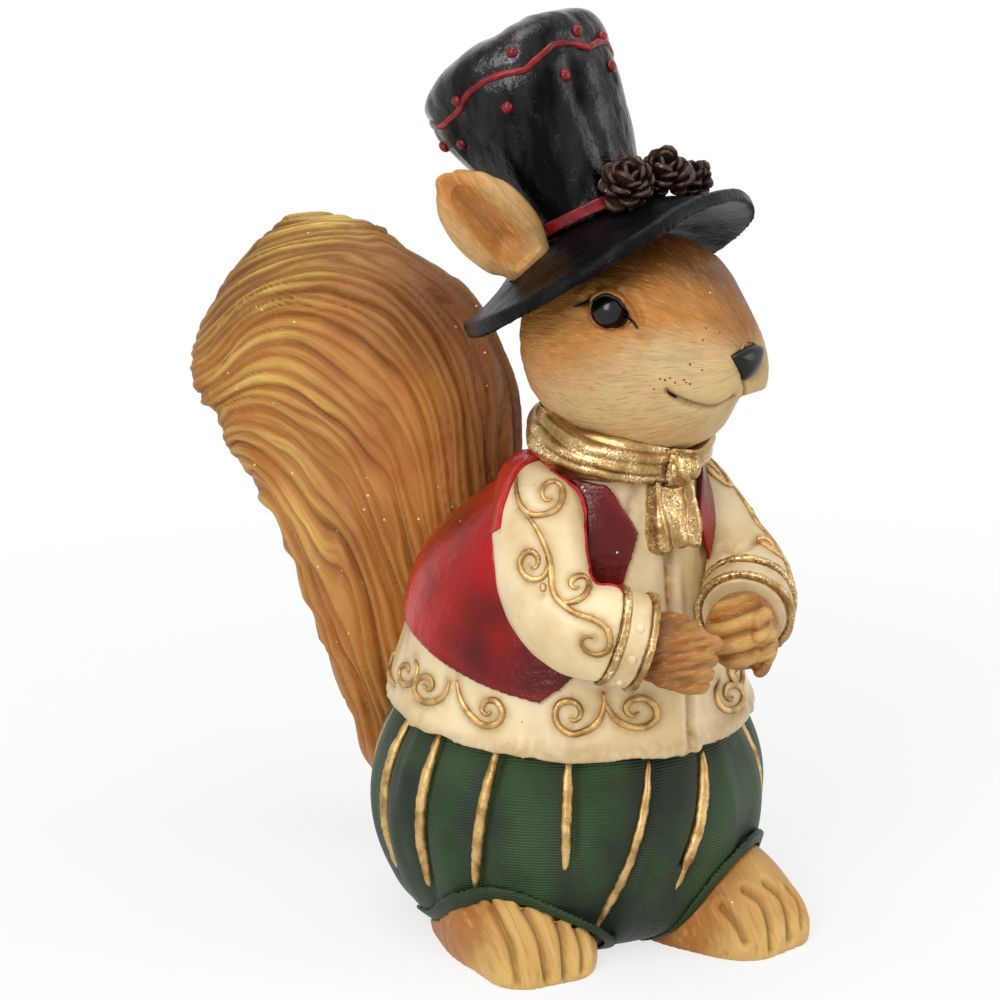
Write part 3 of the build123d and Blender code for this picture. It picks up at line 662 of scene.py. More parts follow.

# %% Tail paint
# Acrylic on resin: caramel brown, umber wash in the clefts, yellow ochre dry brush, and painted shade on
# the front strands.
tail_paint, tree, shader, place = new_paint("tail_acrylic_on_resin", 0.46)
comb = noted(tree, "comb", "Vector")
patches = speckle(tree, place, 38.0, 4.0)
strokes = speckle(tree, scaled(tree, comb, (0.09, 1.5, 1.0)), 1.0, 5.0, 0.65)
crests, tips = noted(tree, "crest"), noted(tree, "tip")
warm = speckle(tree, place, 70.0)
# painted shade of the front strands, a little thinner where the strokes are light
deep = times(tree, noted(tree, "deep"), stretch(tree, strokes, 0.3, 0.65, 1, 0.7))
tipped = times(tree, times(tree, tips, stretch(tree, crests, 0.25, 0.75)),
               stretch(tree, strokes, 0.35, 0.55, 0.3, 1.1))
wash = times(tree, stretch(tree, noted(tree, "relief"), -0.80, -0.06, 0.95, 0.0),
             stretch(tree, tips, 0.2, 0.9, 1.0, 0.5))
body = coats(tree, "8f541d", (stretch(tree, patches, 0.35, 0.65), "b4732f"),
             (stretch(tree, strokes, 0.42, 0.72, 0, 0.45), "cb934d"),
             (stretch(tree, crests, 0.25, 0.95, 0, 0.4), "cf9752"),
             (stretch(tree, warm, 0.5, 0.72, 0, 0.55), "ab5f28"), (deep, "5e3210"),
             (times(tree, tips, 0.45), "cd9a55"), (tipped, "e3c465"), (wash, "4b270c"),
             (flecks(tree, place, 3.2, 0.34, 0.16), "f3dfae"))
lay_paint(tree, shader, body, strokes, 0.7, 0.0006)
dress(tail, tail_paint)

# %% [markdown]
# ## Raised lines
# Gold stripes, scrolls, the hat cord and the eye lines are ridges modelled on
# top of the casting. Each is a half round bead that follows a path on the
# surface below it. Where the picture shows the line, its path comes from the
# picture, by a line of sight that meets the surface.

# %% Bead and dome makers
BEAD_ARC = 7
DOME_SINK = 0.35


def bead_rings(spots, ups, half_width, height, taper=0.25, sink=0.35):
    """Rings of points for one bead, narrower towards both ends."""
    spots, ups = np.asarray(spots), np.asarray(ups)
    ways = unit(np.gradient(spots, axis=0))
    ups = unit(ups - ways * (ups * ways).sum(axis=1)[:, None])
    sides = np.cross(ways, ups)
    share = np.linspace(0, 1, len(spots))
    narrow = np.clip(np.minimum(share, 1 - share) / max(taper, 1e-6), 0, 1) ** 0.5
    narrow = 0.25 + 0.75 * narrow
    rings = []
    for index, spot in enumerate(spots):
        width, rise = half_width * narrow[index], height * narrow[index]
        ring = []
        for step in range(BEAD_ARC):
            angle = math.pi * step / (BEAD_ARC - 1)
            ring.append(spot + sides[index] * width * math.cos(angle)
                        + ups[index] * rise * math.sin(angle))
        ring.append(spot - ups[index] * sink)
        rings.append(ring)
    return rings


def ring_faces(start, rings, size, inward=False):
    """Quads between closed rings of points that follow each other in the list."""
    faces = []
    for ring, side in itertools.product(range(rings - 1), range(size)):
        a = start + ring * size + side
        b = start + ring * size + (side + 1) % size
        faces.append((a, a + size, b + size, b) if inward else (a, b, b + size, a + size))
    return faces


def around(columns):
    """Cosine and sine of evenly spaced angles of a full turn."""
    turns = [2 * math.pi * column / columns for column in range(columns)]
    return [(math.cos(turn), math.sin(turn)) for turn in turns]


def make_beads(name, lines, material, node=None):
    """One object of several beads; each line is (spots, ups, half width, height)."""
    points, faces = [], []
    for spots, ups, half_width, height in lines:
        rings = bead_rings(spots, ups, half_width, height)
        size = BEAD_ARC + 1
        start = len(points)
        for ring in rings:
            points += [tuple(p * MM) for p in ring]
        faces += ring_faces(start, len(rings), size)
        faces.append(tuple(range(start + size - 1, start - 1, -1)))
        last = start + (len(rings) - 1) * size
        faces.append(tuple(range(last, last + size)))
    return finish_piece(name, points, faces, material, node)


def finish_piece(name, points, faces, material, node=None):
    mesh = bpy.data.meshes.new(name)
    mesh.from_pydata(points, [], faces)
    mesh.materials.append(material)
    for face in mesh.polygons:
        face.use_smooth = len(face.vertices) < 6
    piece = add_object(name, mesh)
    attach(piece, "root")
    if node:
        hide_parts(node)
    print(name, "made with", len(faces), "faces")
    return piece


def settle(hits, lift=0.0):
    """Path of the points of hits, with their normals evened out, lifted along those."""
    spots, ups = (np.array(part) for part in zip(*hits))
    for _ in range(3):
        ups[1:-1] = (ups[:-2] + ups[1:-1] + ups[2:]) / 3
    ups = unit(ups)
    return spots + ups * lift, ups


def traced_line(surface, pixels, count):
    """Path on a surface under photograph pixels."""
    hits = [pixel_on(surface, pixel) for pixel in smooth_path(pixels, count)]
    return settle([hit for hit in hits if hit[0] is not None])


def nearest_line(surface, spots, lift=0.0):
    """Path moved to the nearest points of a surface."""
    return settle([surface.find_nearest(Vector(spot))[:2] for spot in spots], lift)


def make_domes(name, hits, radius, rise, material, node=None):
    """Low round heads, each slightly different, as wax beads come out."""
    points, faces = [], []
    rows, columns = 4, 12
    for index, (spot, up) in enumerate(hits):
        up = unit(up)
        side = unit(np.cross(up, (0.3, 0.2, 0.9)))
        front = np.cross(up, side)
        size = radius * (1 + 0.08 * math.sin(index * 2.4))
        start = len(points)
        for row in range(rows + 1):
            slope = math.pi / 2 * (row / rows) - DOME_SINK
            spot_up = max(math.sin(slope), -DOME_SINK) if row else -DOME_SINK
            for cosine, sine in around(columns):
                ring = side * cosine + front * sine
                points.append(tuple((spot + ring * size * math.cos(slope)
                                     + up * rise * spot_up) * MM))
        faces += ring_faces(start, rows + 1, columns)
        points.append(tuple((spot + up * rise) * MM))
        last = start + rows * columns
        faces += [(last + column, last + (column + 1) % columns, last + columns)
                  for column in range(columns)]
        faces.append(tuple(start + column for column in range(columns - 1, -1, -1)))
    return finish_piece(name, points, faces, material, node)


# %% Antique gold paint
# Bronze powder paint on resin: metal flakes in varnish, in paler patches and grains over a darker
# ground.
gold_paint, tree, shader, place = new_paint("antique_gold_paint", 0.38, metallic=0.75)
grain = speckle(tree, place, 900.0, 4.0, 0.7)
wear = speckle(tree, place, 220.0)
tone = coats(tree, "98733f", (stretch(tree, wear, 0.35, 0.62), "d3ae72"),
             (stretch(tree, grain, 0.58, 0.72), "f1dba4"))
lay_paint(tree, shader, tone, grain, 0.8, 0.0003)

# Gold foil and glitter: flakes of about 0.4 mm, each with a tone of its own.
glitter_paint, tree, shader, place = new_paint("gold_glitter_varnish", 0.34, metallic=0.85)
flakes = add_node(tree, "ShaderNodeTexVoronoi", {"Vector": place, "Scale": 2600.0})
pick = add_node(tree, "ShaderNodeSeparateColor", {0: flakes.outputs["Color"]})
drift = speckle(tree, place, 130.0, 3.0)
# the glitter was sprinkled, so it lies in drifts, and bare foil shows between them
sprinkled = stretch(tree, drift, 0.44, 0.56, 0.12, 1.0)
bright = times(tree, stretch(tree, pick.outputs[1], 0.78, 0.84), sprinkled)
dull = times(tree, stretch(tree, pick.outputs[2], 0.86, 0.92), sprinkled)
tone = coats(tree, "94713f", (stretch(tree, drift, 0.35, 0.65), "d9b67c"),
             (bright, "fdf0c8"), (dull, "6b4f27"))
lay_paint(tree, shader, tone, times(tree, pick.outputs[0], sprinkled), 0.45, 0.00025)

# %% [markdown]
# ## Breeches
# The lower casting carries a linen weave pressed into the clay before the mould
# was made, and pleats that swell between the gold stripes. The weave is far
# finer than the faces, so it is a bump in the paint, at a thread spacing of
# 0.75 mm. The pleats are carved.

# %% Breeches carving
# angle from the front and height at each end of a stripe, in degrees and millimetres
STRIPES = (
    (-129, 60, -127, 22), (-107, 60, -107, 17), (-86, 60.5, -86, 17.5), (-62, 60.5, -67, 21),
    (-38.5, 58.5, -39.5, 30), (-12, 56, -29, 9.5), (9.5, 55, -6, 20.5), (41, 55.5, 46, 26),
    (65, 58, 62, 24), (86, 60, 84, 20), (107, 60, 104, 18), (129, 60, 127, 20),
)
breeches = recast("breeches", 0.8, plug="tail_dowel")
spots = points_mm(breeches)
angle = np.degrees(np.arctan2(spots[:, 0], -spots[:, 1]))
height = spots[:, 2]
radius = np.hypot(spots[:, 0], spots[:, 1])
relief = np.zeros(len(spots))
nearest = np.full(len(spots), FAR)
for top_angle, top, bottom_angle, bottom in STRIPES:
    line = bottom_angle + (top_angle - bottom_angle) * (height - bottom) / (top - bottom)
    gap = np.radians(angle - line) * radius
    side = gap - np.sign(line + 3) * -1.7
    relief -= 1.25 * hill(side, 1.5) * ramp(height, bottom - 6, bottom + 6)
    relief -= 1.1 * hill(gap, 6.0) * ramp(height, bottom - 10, bottom + 10)
    nearest = np.minimum(nearest, np.abs(gap))
level = joined(np.radians(angle) * 50, height)
relief += 0.7 * noise(level, (9, 34), 2) + 0.35 * noise(level, (4, 20), 5)
legs = hill(np.radians(angle + 33) * radius, 6.5) * ramp(35 - height, 0, 25)
relief -= 2.2 * legs
carve(breeches, relief * ramp(height, 1, 9) * ramp(radius, 10, 30))
note(breeches, "cloth", joined(np.radians(angle) * 50, height, radius * 0))
# painted shade, kept in the wash note: beside the stripes, towards the bottom and between the legs
shade = 0.75 * hill(nearest, 4.5) + 0.5 * ramp(12 - height, 0, 12) + legs * 0.6
note_shares(breeches, wash=shade)

# %% Green linen paint
# Dark green acrylic over a linen weave, rubbed with a dry pale brush so that threads show, with painted
# shade beside the stripes, low down and between the legs.
linen_paint, tree, shader, place = new_paint("green_acrylic_on_linen_relief", 0.46)
THREAD_MM = 0.75
cloth = noted(tree, "cloth", "Vector")
axes = add_node(tree, "ShaderNodeSeparateXYZ", {0: cloth})
waver = speckle(tree, place, 160.0)
threads = []
for axis in ("X", "Y"):
    turns = times(tree, axes.outputs[axis], 2 * math.pi / THREAD_MM)
    turns = calculate(tree, "ADD", turns, times(tree, waver, 5.0))
    threads.append(calculate(tree, "SINE", turns))
weave = times(tree, calculate(tree, "ADD", threads[0], 1.6), threads[1])
patches = speckle(tree, place, 45.0, 4.0)
thread_light = times(tree, stretch(tree, weave, 0.2, 2.2, 0, 0.42),
                     stretch(tree, patches, 0.40, 0.60, 0.15, 1.0))
# the darkest coat, 141d14, lays the painted shade of the wash note
tone = coats(tree, "14230f", (stretch(tree, patches, 0.38, 0.62), "26401f"),
             (thread_light, "41592f"), (times(tree, noted(tree, "wash"), 0.75), "141d14"))
lay_paint(tree, shader, tone, weave, 0.42, 0.00018)
dress(breeches, linen_paint)

for node in ("leg_hem_right", "leg_hem_left"):
    hem = recast(node, 0.45)
    spots = points_mm(hem)
    carve(hem, 0.20 * noise(spots, 5.0, 3))
    turn = np.arctan2(spots[:, 0], -spots[:, 1]) * 50
    note(hem, "cloth", joined(turn, spots[:, 2], spots[:, 0] * 0))
    note(hem, "wash", np.full(len(spots), 0.35))
    dress(hem, linen_paint)

# %% Gold stripes
OUTSIDE_MM = 70
breeches_skin = surface_of(breeches)
stripe_lines = []
for top_angle, top, bottom_angle, bottom in STRIPES:
    steps = np.linspace(0, 1, 40)
    turn = np.radians(top_angle + (bottom_angle - top_angle) * steps)
    outside = joined(OUTSIDE_MM * np.sin(turn), -OUTSIDE_MM * np.cos(turn),
                     top + (bottom - top) * steps)
    hits = [ray_on(breeches_skin, spot, Vector((-spot[0], -spot[1], 0)).normalized())
            for spot in outside]
    stripe_lines.append((*settle(hits, -0.2), 1.55, 1.2))
stripes = make_beads("gold_stripe_beads", stripe_lines, gold_paint, "gold_stripes")
spots = points_mm(stripes)
carve(stripes, 0.30 * noise(spots, 1.3, 2))

# %% [markdown]
# ## Shirt and sleeves
# The shirt is ivory acrylic over carved folds, with umber antiquing left in the
# folds and round the scrolls. The scrolls come first as paths, because the
# antiquing needs to know how near each point is to one.

# %% Shirt carving and scroll paths
HEM_SCROLLS = (
    ((604, 692), (604, 705), (599, 720), (587, 730), (572, 734), (560, 727), (555, 715), (559, 704),
     (570, 701), (579, 706), (581, 715), (575, 721), (569, 718)),
    ((602, 692), (607, 707), (617, 720), (632, 727), (647, 726), (656, 717), (654, 706), (645, 699),
     (634, 699), (626, 705), (626, 712), (632, 716), (639, 712)),
    ((457, 680), (459, 692), (465, 707), (475, 720), (487, 726), (499, 722), (503, 711), (497, 701),
     (487, 701), (482, 709), (487, 715), (492, 711)),
    ((450, 682), (445, 695), (434, 702), (422, 700), (416, 690), (420, 679), (430, 677), (435, 684),
     (431, 690), (425, 685)),
    ((415, 660), (418, 672), (412, 682), (404, 684), (399, 677), (401, 667), (407, 665), (409, 672)),
    ((395, 652), (391, 663), (390, 675), (394, 686)),
    ((720, 680), (716, 692), (719, 705), (728, 711), (738, 707), (741, 696), (736, 686), (727, 686),
     (724, 694), (728, 700), (733, 697)),
)
SLEEVE_SCROLLS = (
    ((516, 475), (516, 490), (521, 506), (531, 514), (545, 514), (557, 508), (563, 496), (562, 486),
     (554, 481), (545, 484), (542, 493), (546, 500), (552, 498)),
    ((520, 508), (533, 523), (543, 541), (549, 558), (551, 575), (553, 591), (560, 602), (575, 613),
     (593, 619), (606, 628), (610, 641), (607, 651), (597, 655), (586, 651), (581, 643), (585, 637),
     (593, 638)),
    ((549, 560), (547, 570), (541, 578), (531, 579), (522, 573), (519, 562), (524, 553), (533, 552),
     (538, 559), (536, 567), (530, 567)),
    ((557, 600), (566, 603), (579, 600), (587, 592), (588, 583), (582, 577), (574, 578), (570, 584),
     (574, 589), (579, 588)),
    ((543, 583), (543, 592)),
)
shirt = recast("shirt", 0.8, plug="neck_dowel")
shirt_skin = surface_of(shirt)
hem_lines = [traced_line(shirt_skin, line, 60) for line in HEM_SCROLLS]
# the pair at the front comes again round the sides and back, which the picture hides
LEAN_MM = 4.0
SCROLL_TURNS = (74, 124, 172, 220)
for turn in SCROLL_TURNS:
    for spots, _ in hem_lines[:2]:
        swing = np.radians(turn)
        rotate = np.array(((math.cos(swing), -math.sin(swing), 0),
                           (math.sin(swing), math.cos(swing), 0), (0, 0, 1)))
        moved = (spots - (0, -LEAN_MM, 0)) @ rotate.T + (0, -LEAN_MM * 0.2, 0)
        moved[:, 2] += 2.2 * (1 - math.cos(swing)) * 0.5
        hem_lines.append(nearest_line(shirt_skin, moved))

spots = points_mm(shirt)
angle = np.degrees(np.arctan2(spots[:, 0], -(spots[:, 1] + 8)))
level = joined(np.radians(angle) * 45, spots[:, 2])
relief = 0.55 * noise(level, (9, 26), 3) + 0.30 * noise(level, (3.5, 12), 6)
placket = pixels_on(shirt_skin, (
    (664, 520), (668, 560), (671, 610), (682, 660), (687, 700), (689, 735), (690, 758)), 40)
gap = path_distance(spots, placket)
side = (spots - placket[20]) @ CAMERA_RIGHT
relief -= 1.1 * hill(gap, 0.9)
relief += 0.9 * hill(gap - 2.4, 1.8) * (side > -2)
fold = pixels_on(shirt_skin, ((640, 470), (634, 500), (622, 530), (612, 560), (606, 590)))
relief -= 0.9 * hill(path_distance(spots, fold), 1.6)
hem_edge = ramp(64.5 - spots[:, 2], 0, 4)
relief += 0.5 * hem_edge
carve(shirt, relief)
near = np.full(len(spots), FAR)
for line, _ in hem_lines:
    close = lengths_of(spots - line.mean(axis=0)) < 22
    near[close] = np.minimum(near[close], path_distance(spots[close], line[::3]))
# umber round the scrolls, in the placket and in hollows; darker along the lowest front hem; and painted
# shade towards the neck, under the scarf
wash = 0.85 * hill(near, 1.9) + 0.7 * hill(gap, 1.4) + 0.5 * hem_edge
wash += 0.35 * ramp(spots[:, 2], 95, 128) + 0.4 * np.clip(-relief - 0.25, 0, 1)
note_shares(shirt, wash=wash)

sleeves = {side_name: recast("sleeve_" + side_name, 0.6) for side_name in ("right", "left")}
right_skin, left_skin = surface_of(sleeves["right"]), surface_of(sleeves["left"])
vine = [traced_line(right_skin, line, 70) for line in SLEEVE_SCROLLS]
left_vine = [nearest_line(left_skin, line * (-1, 1, 1) + (-4, 1, 0)) for line, _ in vine[:4]]
CREASE_PIXELS = (
    ((722, 548), (735, 552), (748, 548), (757, 540)), ((726, 560), (740, 562), (752, 556)),
    ((717, 575), (728, 570), (742, 566)),
)
for side_name, lines in (("right", vine), ("left", left_vine)):
    sleeve = sleeves[side_name]
    spots = points_mm(sleeve)
    relief = 0.5 * noise(spots, 11.0, 4) + 0.2 * noise(spots, 4.0, 5)
    near = np.full(len(spots), FAR)
    for line, _ in lines:
        near = np.minimum(near, path_distance(spots, line[::3]))
    if side_name == "left":
        for gap in gaps_to(left_skin, spots, CREASE_PIXELS):
            relief -= 1.2 * hill(gap, 1.1)
    carve(sleeve, relief)
    wash = 0.8 * hill(near, 1.7) + 0.5 * np.clip(-relief - 0.2, 0, 1)
    note_shares(sleeve, wash=wash)

# %% Ivory paint
# Ivory acrylic on resin with a rubbed umber wash: pale on the open cloth, brown in every fold, and
# darker towards the neck as painted shade under the scarf.
ivory_paint, tree, shader, place = new_paint("ivory_acrylic_antiqued", 0.42, coat=0.2)
patches = speckle(tree, place, 60.0, 5.0)
specks = speckle(tree, place, 420.0, 3.0)
brown = times(tree, noted(tree, "wash"), stretch(tree, specks, 0.3, 0.6, 0.5, 1.0))
tone = coats(tree, "ecd8ae", (stretch(tree, patches, 0.42, 0.70), "d6bb87"), (brown, "a37a45"),
             (flecks(tree, place, 3.4, 0.30, 0.12), "c69a4c"))
lay_paint(tree, shader, tone, specks, 0.25, 0.0003)
for piece in (shirt, sleeves["right"], sleeves["left"]):
    dress(piece, ivory_paint)

# %% Gold scrolls
make_beads("hem_scrolls", [(*nearest_line(surface_of(shirt), line), 0.95, 0.95)
                                         for line, _ in hem_lines], gold_paint)
right_skin = surface_of(sleeves["right"])
left_skin = surface_of(sleeves["left"])
make_beads(
    "sleeve_scrolls",
    [(*nearest_line(right_skin, line), 0.85, 0.85) for line, _ in vine]
    + [(*nearest_line(left_skin, line), 0.85, 0.85) for line, _ in left_vine],
    gold_paint)

# %% [markdown]
# ## Waistcoat
# A thin raised layer, painted in a transparent red lacquer over a darker coat: bright and wet on the
# swells and nearly black red in broad patches, with painted shade low down, on the front panel and at
# the collar, and painted highlights along its rounded edges. The dents are broad, as a thumb leaves them
# in clay.

# %% Waistcoat carving and lacquer
waistcoat = recast("waistcoat", 0.5, soft=6)
spots = points_mm(waistcoat)
broad = noise(spots, 17.0, 7)
small = noise(spots, 4.5, 8)
carve(waistcoat, 0.33 * broad + 0.16 * small)
opening = pixels_on(shirt_skin, (
    (573, 452), (597, 480), (618, 507), (636, 531), (631, 556), (620, 587)), 30)
edge_gap = path_distance(spots, opening)
# the wash note: random dark patches of lacquer, plus painted shade low down, on the front panel and at
# the collar under the scarf
low = ramp(92 - spots[:, 2], 0, 16)
dark = 0.22 + 0.75 * noise(spots, 26.0, 12) + 0.35 * noise(spots, 9.0, 14) + 0.35 * low
dark += 0.85 * ramp(pixels_of(spots)[:, 0], 560, 600) + 0.35 * ramp(spots[:, 2], 118, 130)
# pale is a painted highlight along the front opening and along the lower edge on the right side
right_hem = pixels_on(shirt_skin, (
    (402, 600), (430, 633), (470, 668), (505, 689), (540, 697), (565, 693)), 30)
pale = hill(edge_gap, 1.5) + hill(path_distance(spots, right_hem), 1.4)
note_shares(waistcoat, wash=dark, pale=pale)
red_lacquer, tree, shader, place = new_paint("red_lacquer_on_resin", 0.20, ior=1.35)
ripples = speckle(tree, place, 330.0, 4.0, 0.6)
# the wash coat holds painted shade as well as dark patches; the pale coat, c43a3d, is painted highlight
tone = coats(tree, "b8110c", (noted(tree, "wash"), "5a0906"),
             (stretch(tree, ripples, 0.55, 0.75, 0, 0.35), "380c0d"),
             (times(tree, noted(tree, "pale"), 0.6), "c43a3d"),
             (flecks(tree, place, 4.0, 0.28, 0.18), "f0dcae"))
lay_paint(tree, shader, tone, ripples, 0.7, 0.0006)
dress(waistcoat, red_lacquer)

# %% Waistcoat straps over the shoulders
def clipped(points, ups, faces, value):
    """The part of a mesh where value is above zero, cut cleanly through its faces."""
    new_points, new_ups, new_faces, index_of = [], [], [], {}

    def keep(key, point, up):
        if key not in index_of:
            index_of[key] = len(new_points)
            new_points.append(point)
            new_ups.append(up)
        return index_of[key]

    for face in faces:
        loop = []
        for a, b in zip(face, face[1:] + face[:1]):
            if value[a] > 0:
                loop.append(keep(a, points[a], ups[a]))
            if (value[a] > 0) != (value[b] > 0):
                low, high = min(a, b), max(a, b)
                share = value[low] / (value[low] - value[high])
                loop.append(keep((low, high), points[low] + share * (points[high] - points[low]),
                                 ups[low] + share * (ups[high] - ups[low])))
        if len(loop) > 2:
            new_faces.append(tuple(loop))
    return np.array(new_points), np.array(new_ups), new_faces


def raised_layer(name, points, ups, faces, rise, sink, material):
    """Closed layer over a piece of skin, with straight edges all round."""
    count = len(points)
    edges = {}
    for face in faces:
        for a, b in zip(face, face[1:] + face[:1]):
            edges[(a, b)] = edges.get((a, b), 0) + 1
    border = [edge for edge in edges if (edge[1], edge[0]) not in edges]
    top, under = points + ups * rise[:, None], points - ups * sink
    solid = list(faces) + [tuple(count + v for v in reversed(face)) for face in faces]
    solid += [(b, a, count + a, count + b) for a, b in border]
    return finish_piece(name, [tuple(p * MM) for p in np.concatenate((top, under))],
                        solid, material)


# edge of the armhole in the picture, then far below it, round the rest of the sleeve
ARMHOLE_PIXELS = ((501, 528), (503, 512), (508, 496), (514, 481), (521, 470), (531, 463), (545, 460),
                  (560, 465), (572, 479), (582, 497), (592, 522), (600, 545), (612, 570),
                  (624, 584), (700, 600), (700, 760), (440, 760), (440, 560))
SHOULDER_LEVEL_MM = 106
armhole = smooth_path(ARMHOLE_PIXELS[:14], 60)
closed_edge = np.concatenate((armhole, ARMHOLE_PIXELS[14:], armhole[:1]))


def inside_edge(pixels):
    """Whether each pixel lies inside the closed armhole edge (even-odd rule)."""
    found = np.zeros(len(pixels), bool)
    for (ax, ay), (bx, by) in zip(closed_edge[:-1], closed_edge[1:]):
        spans = (ay > pixels[:, 1]) != (by > pixels[:, 1])
        crossing = ax + (pixels[:, 1] - ay) * (bx - ax) / ((by - ay) or 1e-9)
        found ^= spans & (pixels[:, 0] < crossing)
    return found


def armhole_gap(pixels):
    """Distance from the armhole edge in the picture, in millimetres at the figure."""
    return path_distance(pixels, armhole) * DISTANCE / MM / PHOTO_FOCAL


right_sleeve = sleeves["right"]
spots = points_mm(right_sleeve)
pixels = pixels_of(spots)
edge_distance = armhole_gap(pixels)
value = np.where(inside_edge(pixels), -edge_distance, edge_distance)
facing = normals(right_sleeve) @ np.array(backward)
hidden = np.minimum((0.12 - facing) * 9, (spots[:, 2] - SHOULDER_LEVEL_MM) * 0.8)
value = np.clip(np.maximum(value, hidden), -3, 3)
faces = [tuple(face.vertices) for face in right_sleeve.data.polygons]
strap, strap_ups, strap_faces = clipped(spots, normals(right_sleeve), faces, value)
welt = hill(armhole_gap(pixels_of(strap)) - 0.7, 0.8)
strap_piece = raised_layer("waistcoat_strap", strap, strap_ups, strap_faces, 0.55 + 0.45 * welt, 0.4,
                           red_lacquer)
note(strap_piece, "wash", np.full(2 * len(strap), 0.15))
# the welt along the armhole gets painted highlight through the pale note
note(strap_piece, "pale", np.tile(0.8 * welt, 2))
print("strap", len(strap), "points")

# %% [markdown]
# ## Cuffs and scarf
# The scarf is carved cloth under gold foil and coarse glitter. Its folds run
# along it, so they are cut as waves across its height that drift as they go
# round. The cuffs are ivory bands between two glittered rings.

# %% Cuffs
DOT_PIXELS = ((640, 628), (632, 660), (620, 682))
for node in ("cuff_right", "cuff_left"):
    cuff = recast(node, 0.45)
    spots = points_mm(cuff)
    carve(cuff, 0.2 * noise(spots, 6.0, 3))
    note_shares(cuff, wash=0.25 + 0.3 * noise(spots, 5.0, 2))
    dress(cuff, ivory_paint)
    if node == "cuff_right":
        cuff_skin = surface_of(cuff)
cuff_dots = [pixel_on(cuff_skin, pixel) for pixel in DOT_PIXELS]
make_domes("cuff_dots", cuff_dots, 1.2, 0.8, ivory_paint)
for node in ("cuff_trims_right", "cuff_trims_left"):
    trim = recast(node, 0.4)
    carve(trim, 0.22 * noise(points_mm(trim), 1.6, 3))
    dress(trim, glitter_paint)

# %% Scarf
wrap = recast("scarf_wrap", 0.5)
spots = points_mm(wrap)
offset = spots - (0.0, -22.0, 137.0)
turn = np.arctan2(offset[:, 0], -offset[:, 1])
SCARF_TILT = math.radians(8)
FOLD_MM = 4.3
rise = offset[:, 2] * math.cos(SCARF_TILT) - offset[:, 1] * math.sin(SCARF_TILT)
path_around = joined(turn * 25, rise)
fold = rise / FOLD_MM + turn * 0.45 + 0.35 * noise(path_around, (16, 9), 2)
relief = 0.85 * (ridges(fold, 0.9) * 0.5 - 0.4)
relief += 0.30 * noise(path_around, (5.5, 2.2), 5)
relief += 0.9 * hill(turn + 1.75, 0.28)
carve(wrap, relief)
dress(wrap, glitter_paint)
for node in ("scarf_knot", "scarf_end"):
    cloth = recast(node, 0.4)
    spots = points_mm(cloth)
    shift = spots[:, 0] * 0.9 + spots[:, 2] * 0.15
    relief = 0.55 * (ridges(shift / 5.2 + 0.3 * noise(spots, 8.0, 2), 0.9) - 0.6)
    relief += 0.30 * noise(spots, 2.2, 4)
    if node == "scarf_end":
        sideways = spots[:, 0] - spots[:, 0].mean()
        relief += 1.3 * ramp(np.abs(sideways), 1, 6) * ramp(spots[:, 2].max() - spots[:, 2], 2, 14)
    else:
        relief -= 1.1
    carve(cloth, relief)
    dress(cloth, glitter_paint)

# %% [markdown]
# ## Head
# The head is one egg shaped form, so the carving gives it the face: cheek and
# lip pads, a cleft under the nose, a mouth line, lids round the eye and a soft
# brow. Each line is placed by the picture on the visible side, and mirrored
# across the head's own middle plane.

# %% Head carving
HEAD_CENTRE = np.array((2.0, -24.0, 161.5))
HEAD_TURN = math.radians(16)
HEAD_LEFT = np.array((math.cos(HEAD_TURN), math.sin(HEAD_TURN), 0.0))
HEAD_REAR = np.array((-math.sin(HEAD_TURN), math.cos(HEAD_TURN), 0.0))


def head_local(spots):
    """Left, rear and up of the head's own middle, in millimetres."""
    offset = np.atleast_2d(spots) - HEAD_CENTRE
    return joined(offset @ HEAD_LEFT, offset @ HEAD_REAR, offset[:, 2])


def folded_head(spots):
    """Head frame with its left half folded onto the right; the muzzle's middle lies off centre."""
    local = head_local(spots)
    shift = MUZZLE_SHIFT_MM * ramp(-local[:, 1], 22, 33)
    return joined(-np.abs(local[:, 0] + shift), local[:, 1], local[:, 2])


def head_world(local):
    return HEAD_CENTRE + local[:, :1] * HEAD_LEFT + local[:, 1:2] * HEAD_REAR \
        + local[:, 2:] * np.array((0, 0, 1))


MUZZLE_SHIFT_MM = 3.6
HEAD_HALF_MM = np.array((26.5, 36.5, 28.5))
head = recast("head", 0.5)
head_skin = surface_of(head)
MOUTH_PIXELS = ((667, 391), (673, 396), (684, 401), (698, 405), (712, 406), (724, 402), (733, 396))
LID_CREASE_PIXELS = ((586, 302), (597, 292), (612, 289), (626, 296), (636, 308), (641, 322))
CHEEK_LINE_PIXELS = ((652, 330), (650, 350), (643, 372), (636, 392))


def both_sides(pixels, count=30):
    """Line of the visible side in the head's own frame, with its distance to the middle."""
    return folded_head(pixels_on(head_skin, pixels, count))


mouth = both_sides(MOUTH_PIXELS)
lid_crease = both_sides(LID_CREASE_PIXELS)
cheek_line = both_sides(CHEEK_LINE_PIXELS)
spots = points_mm(head)
local = head_local(spots)
folded = folded_head(spots)
left, rear, up = local.T
middle = -folded[:, 0]


def near_point(centre, width):
    return hill(lengths_of(folded - np.asarray(centre)), width)


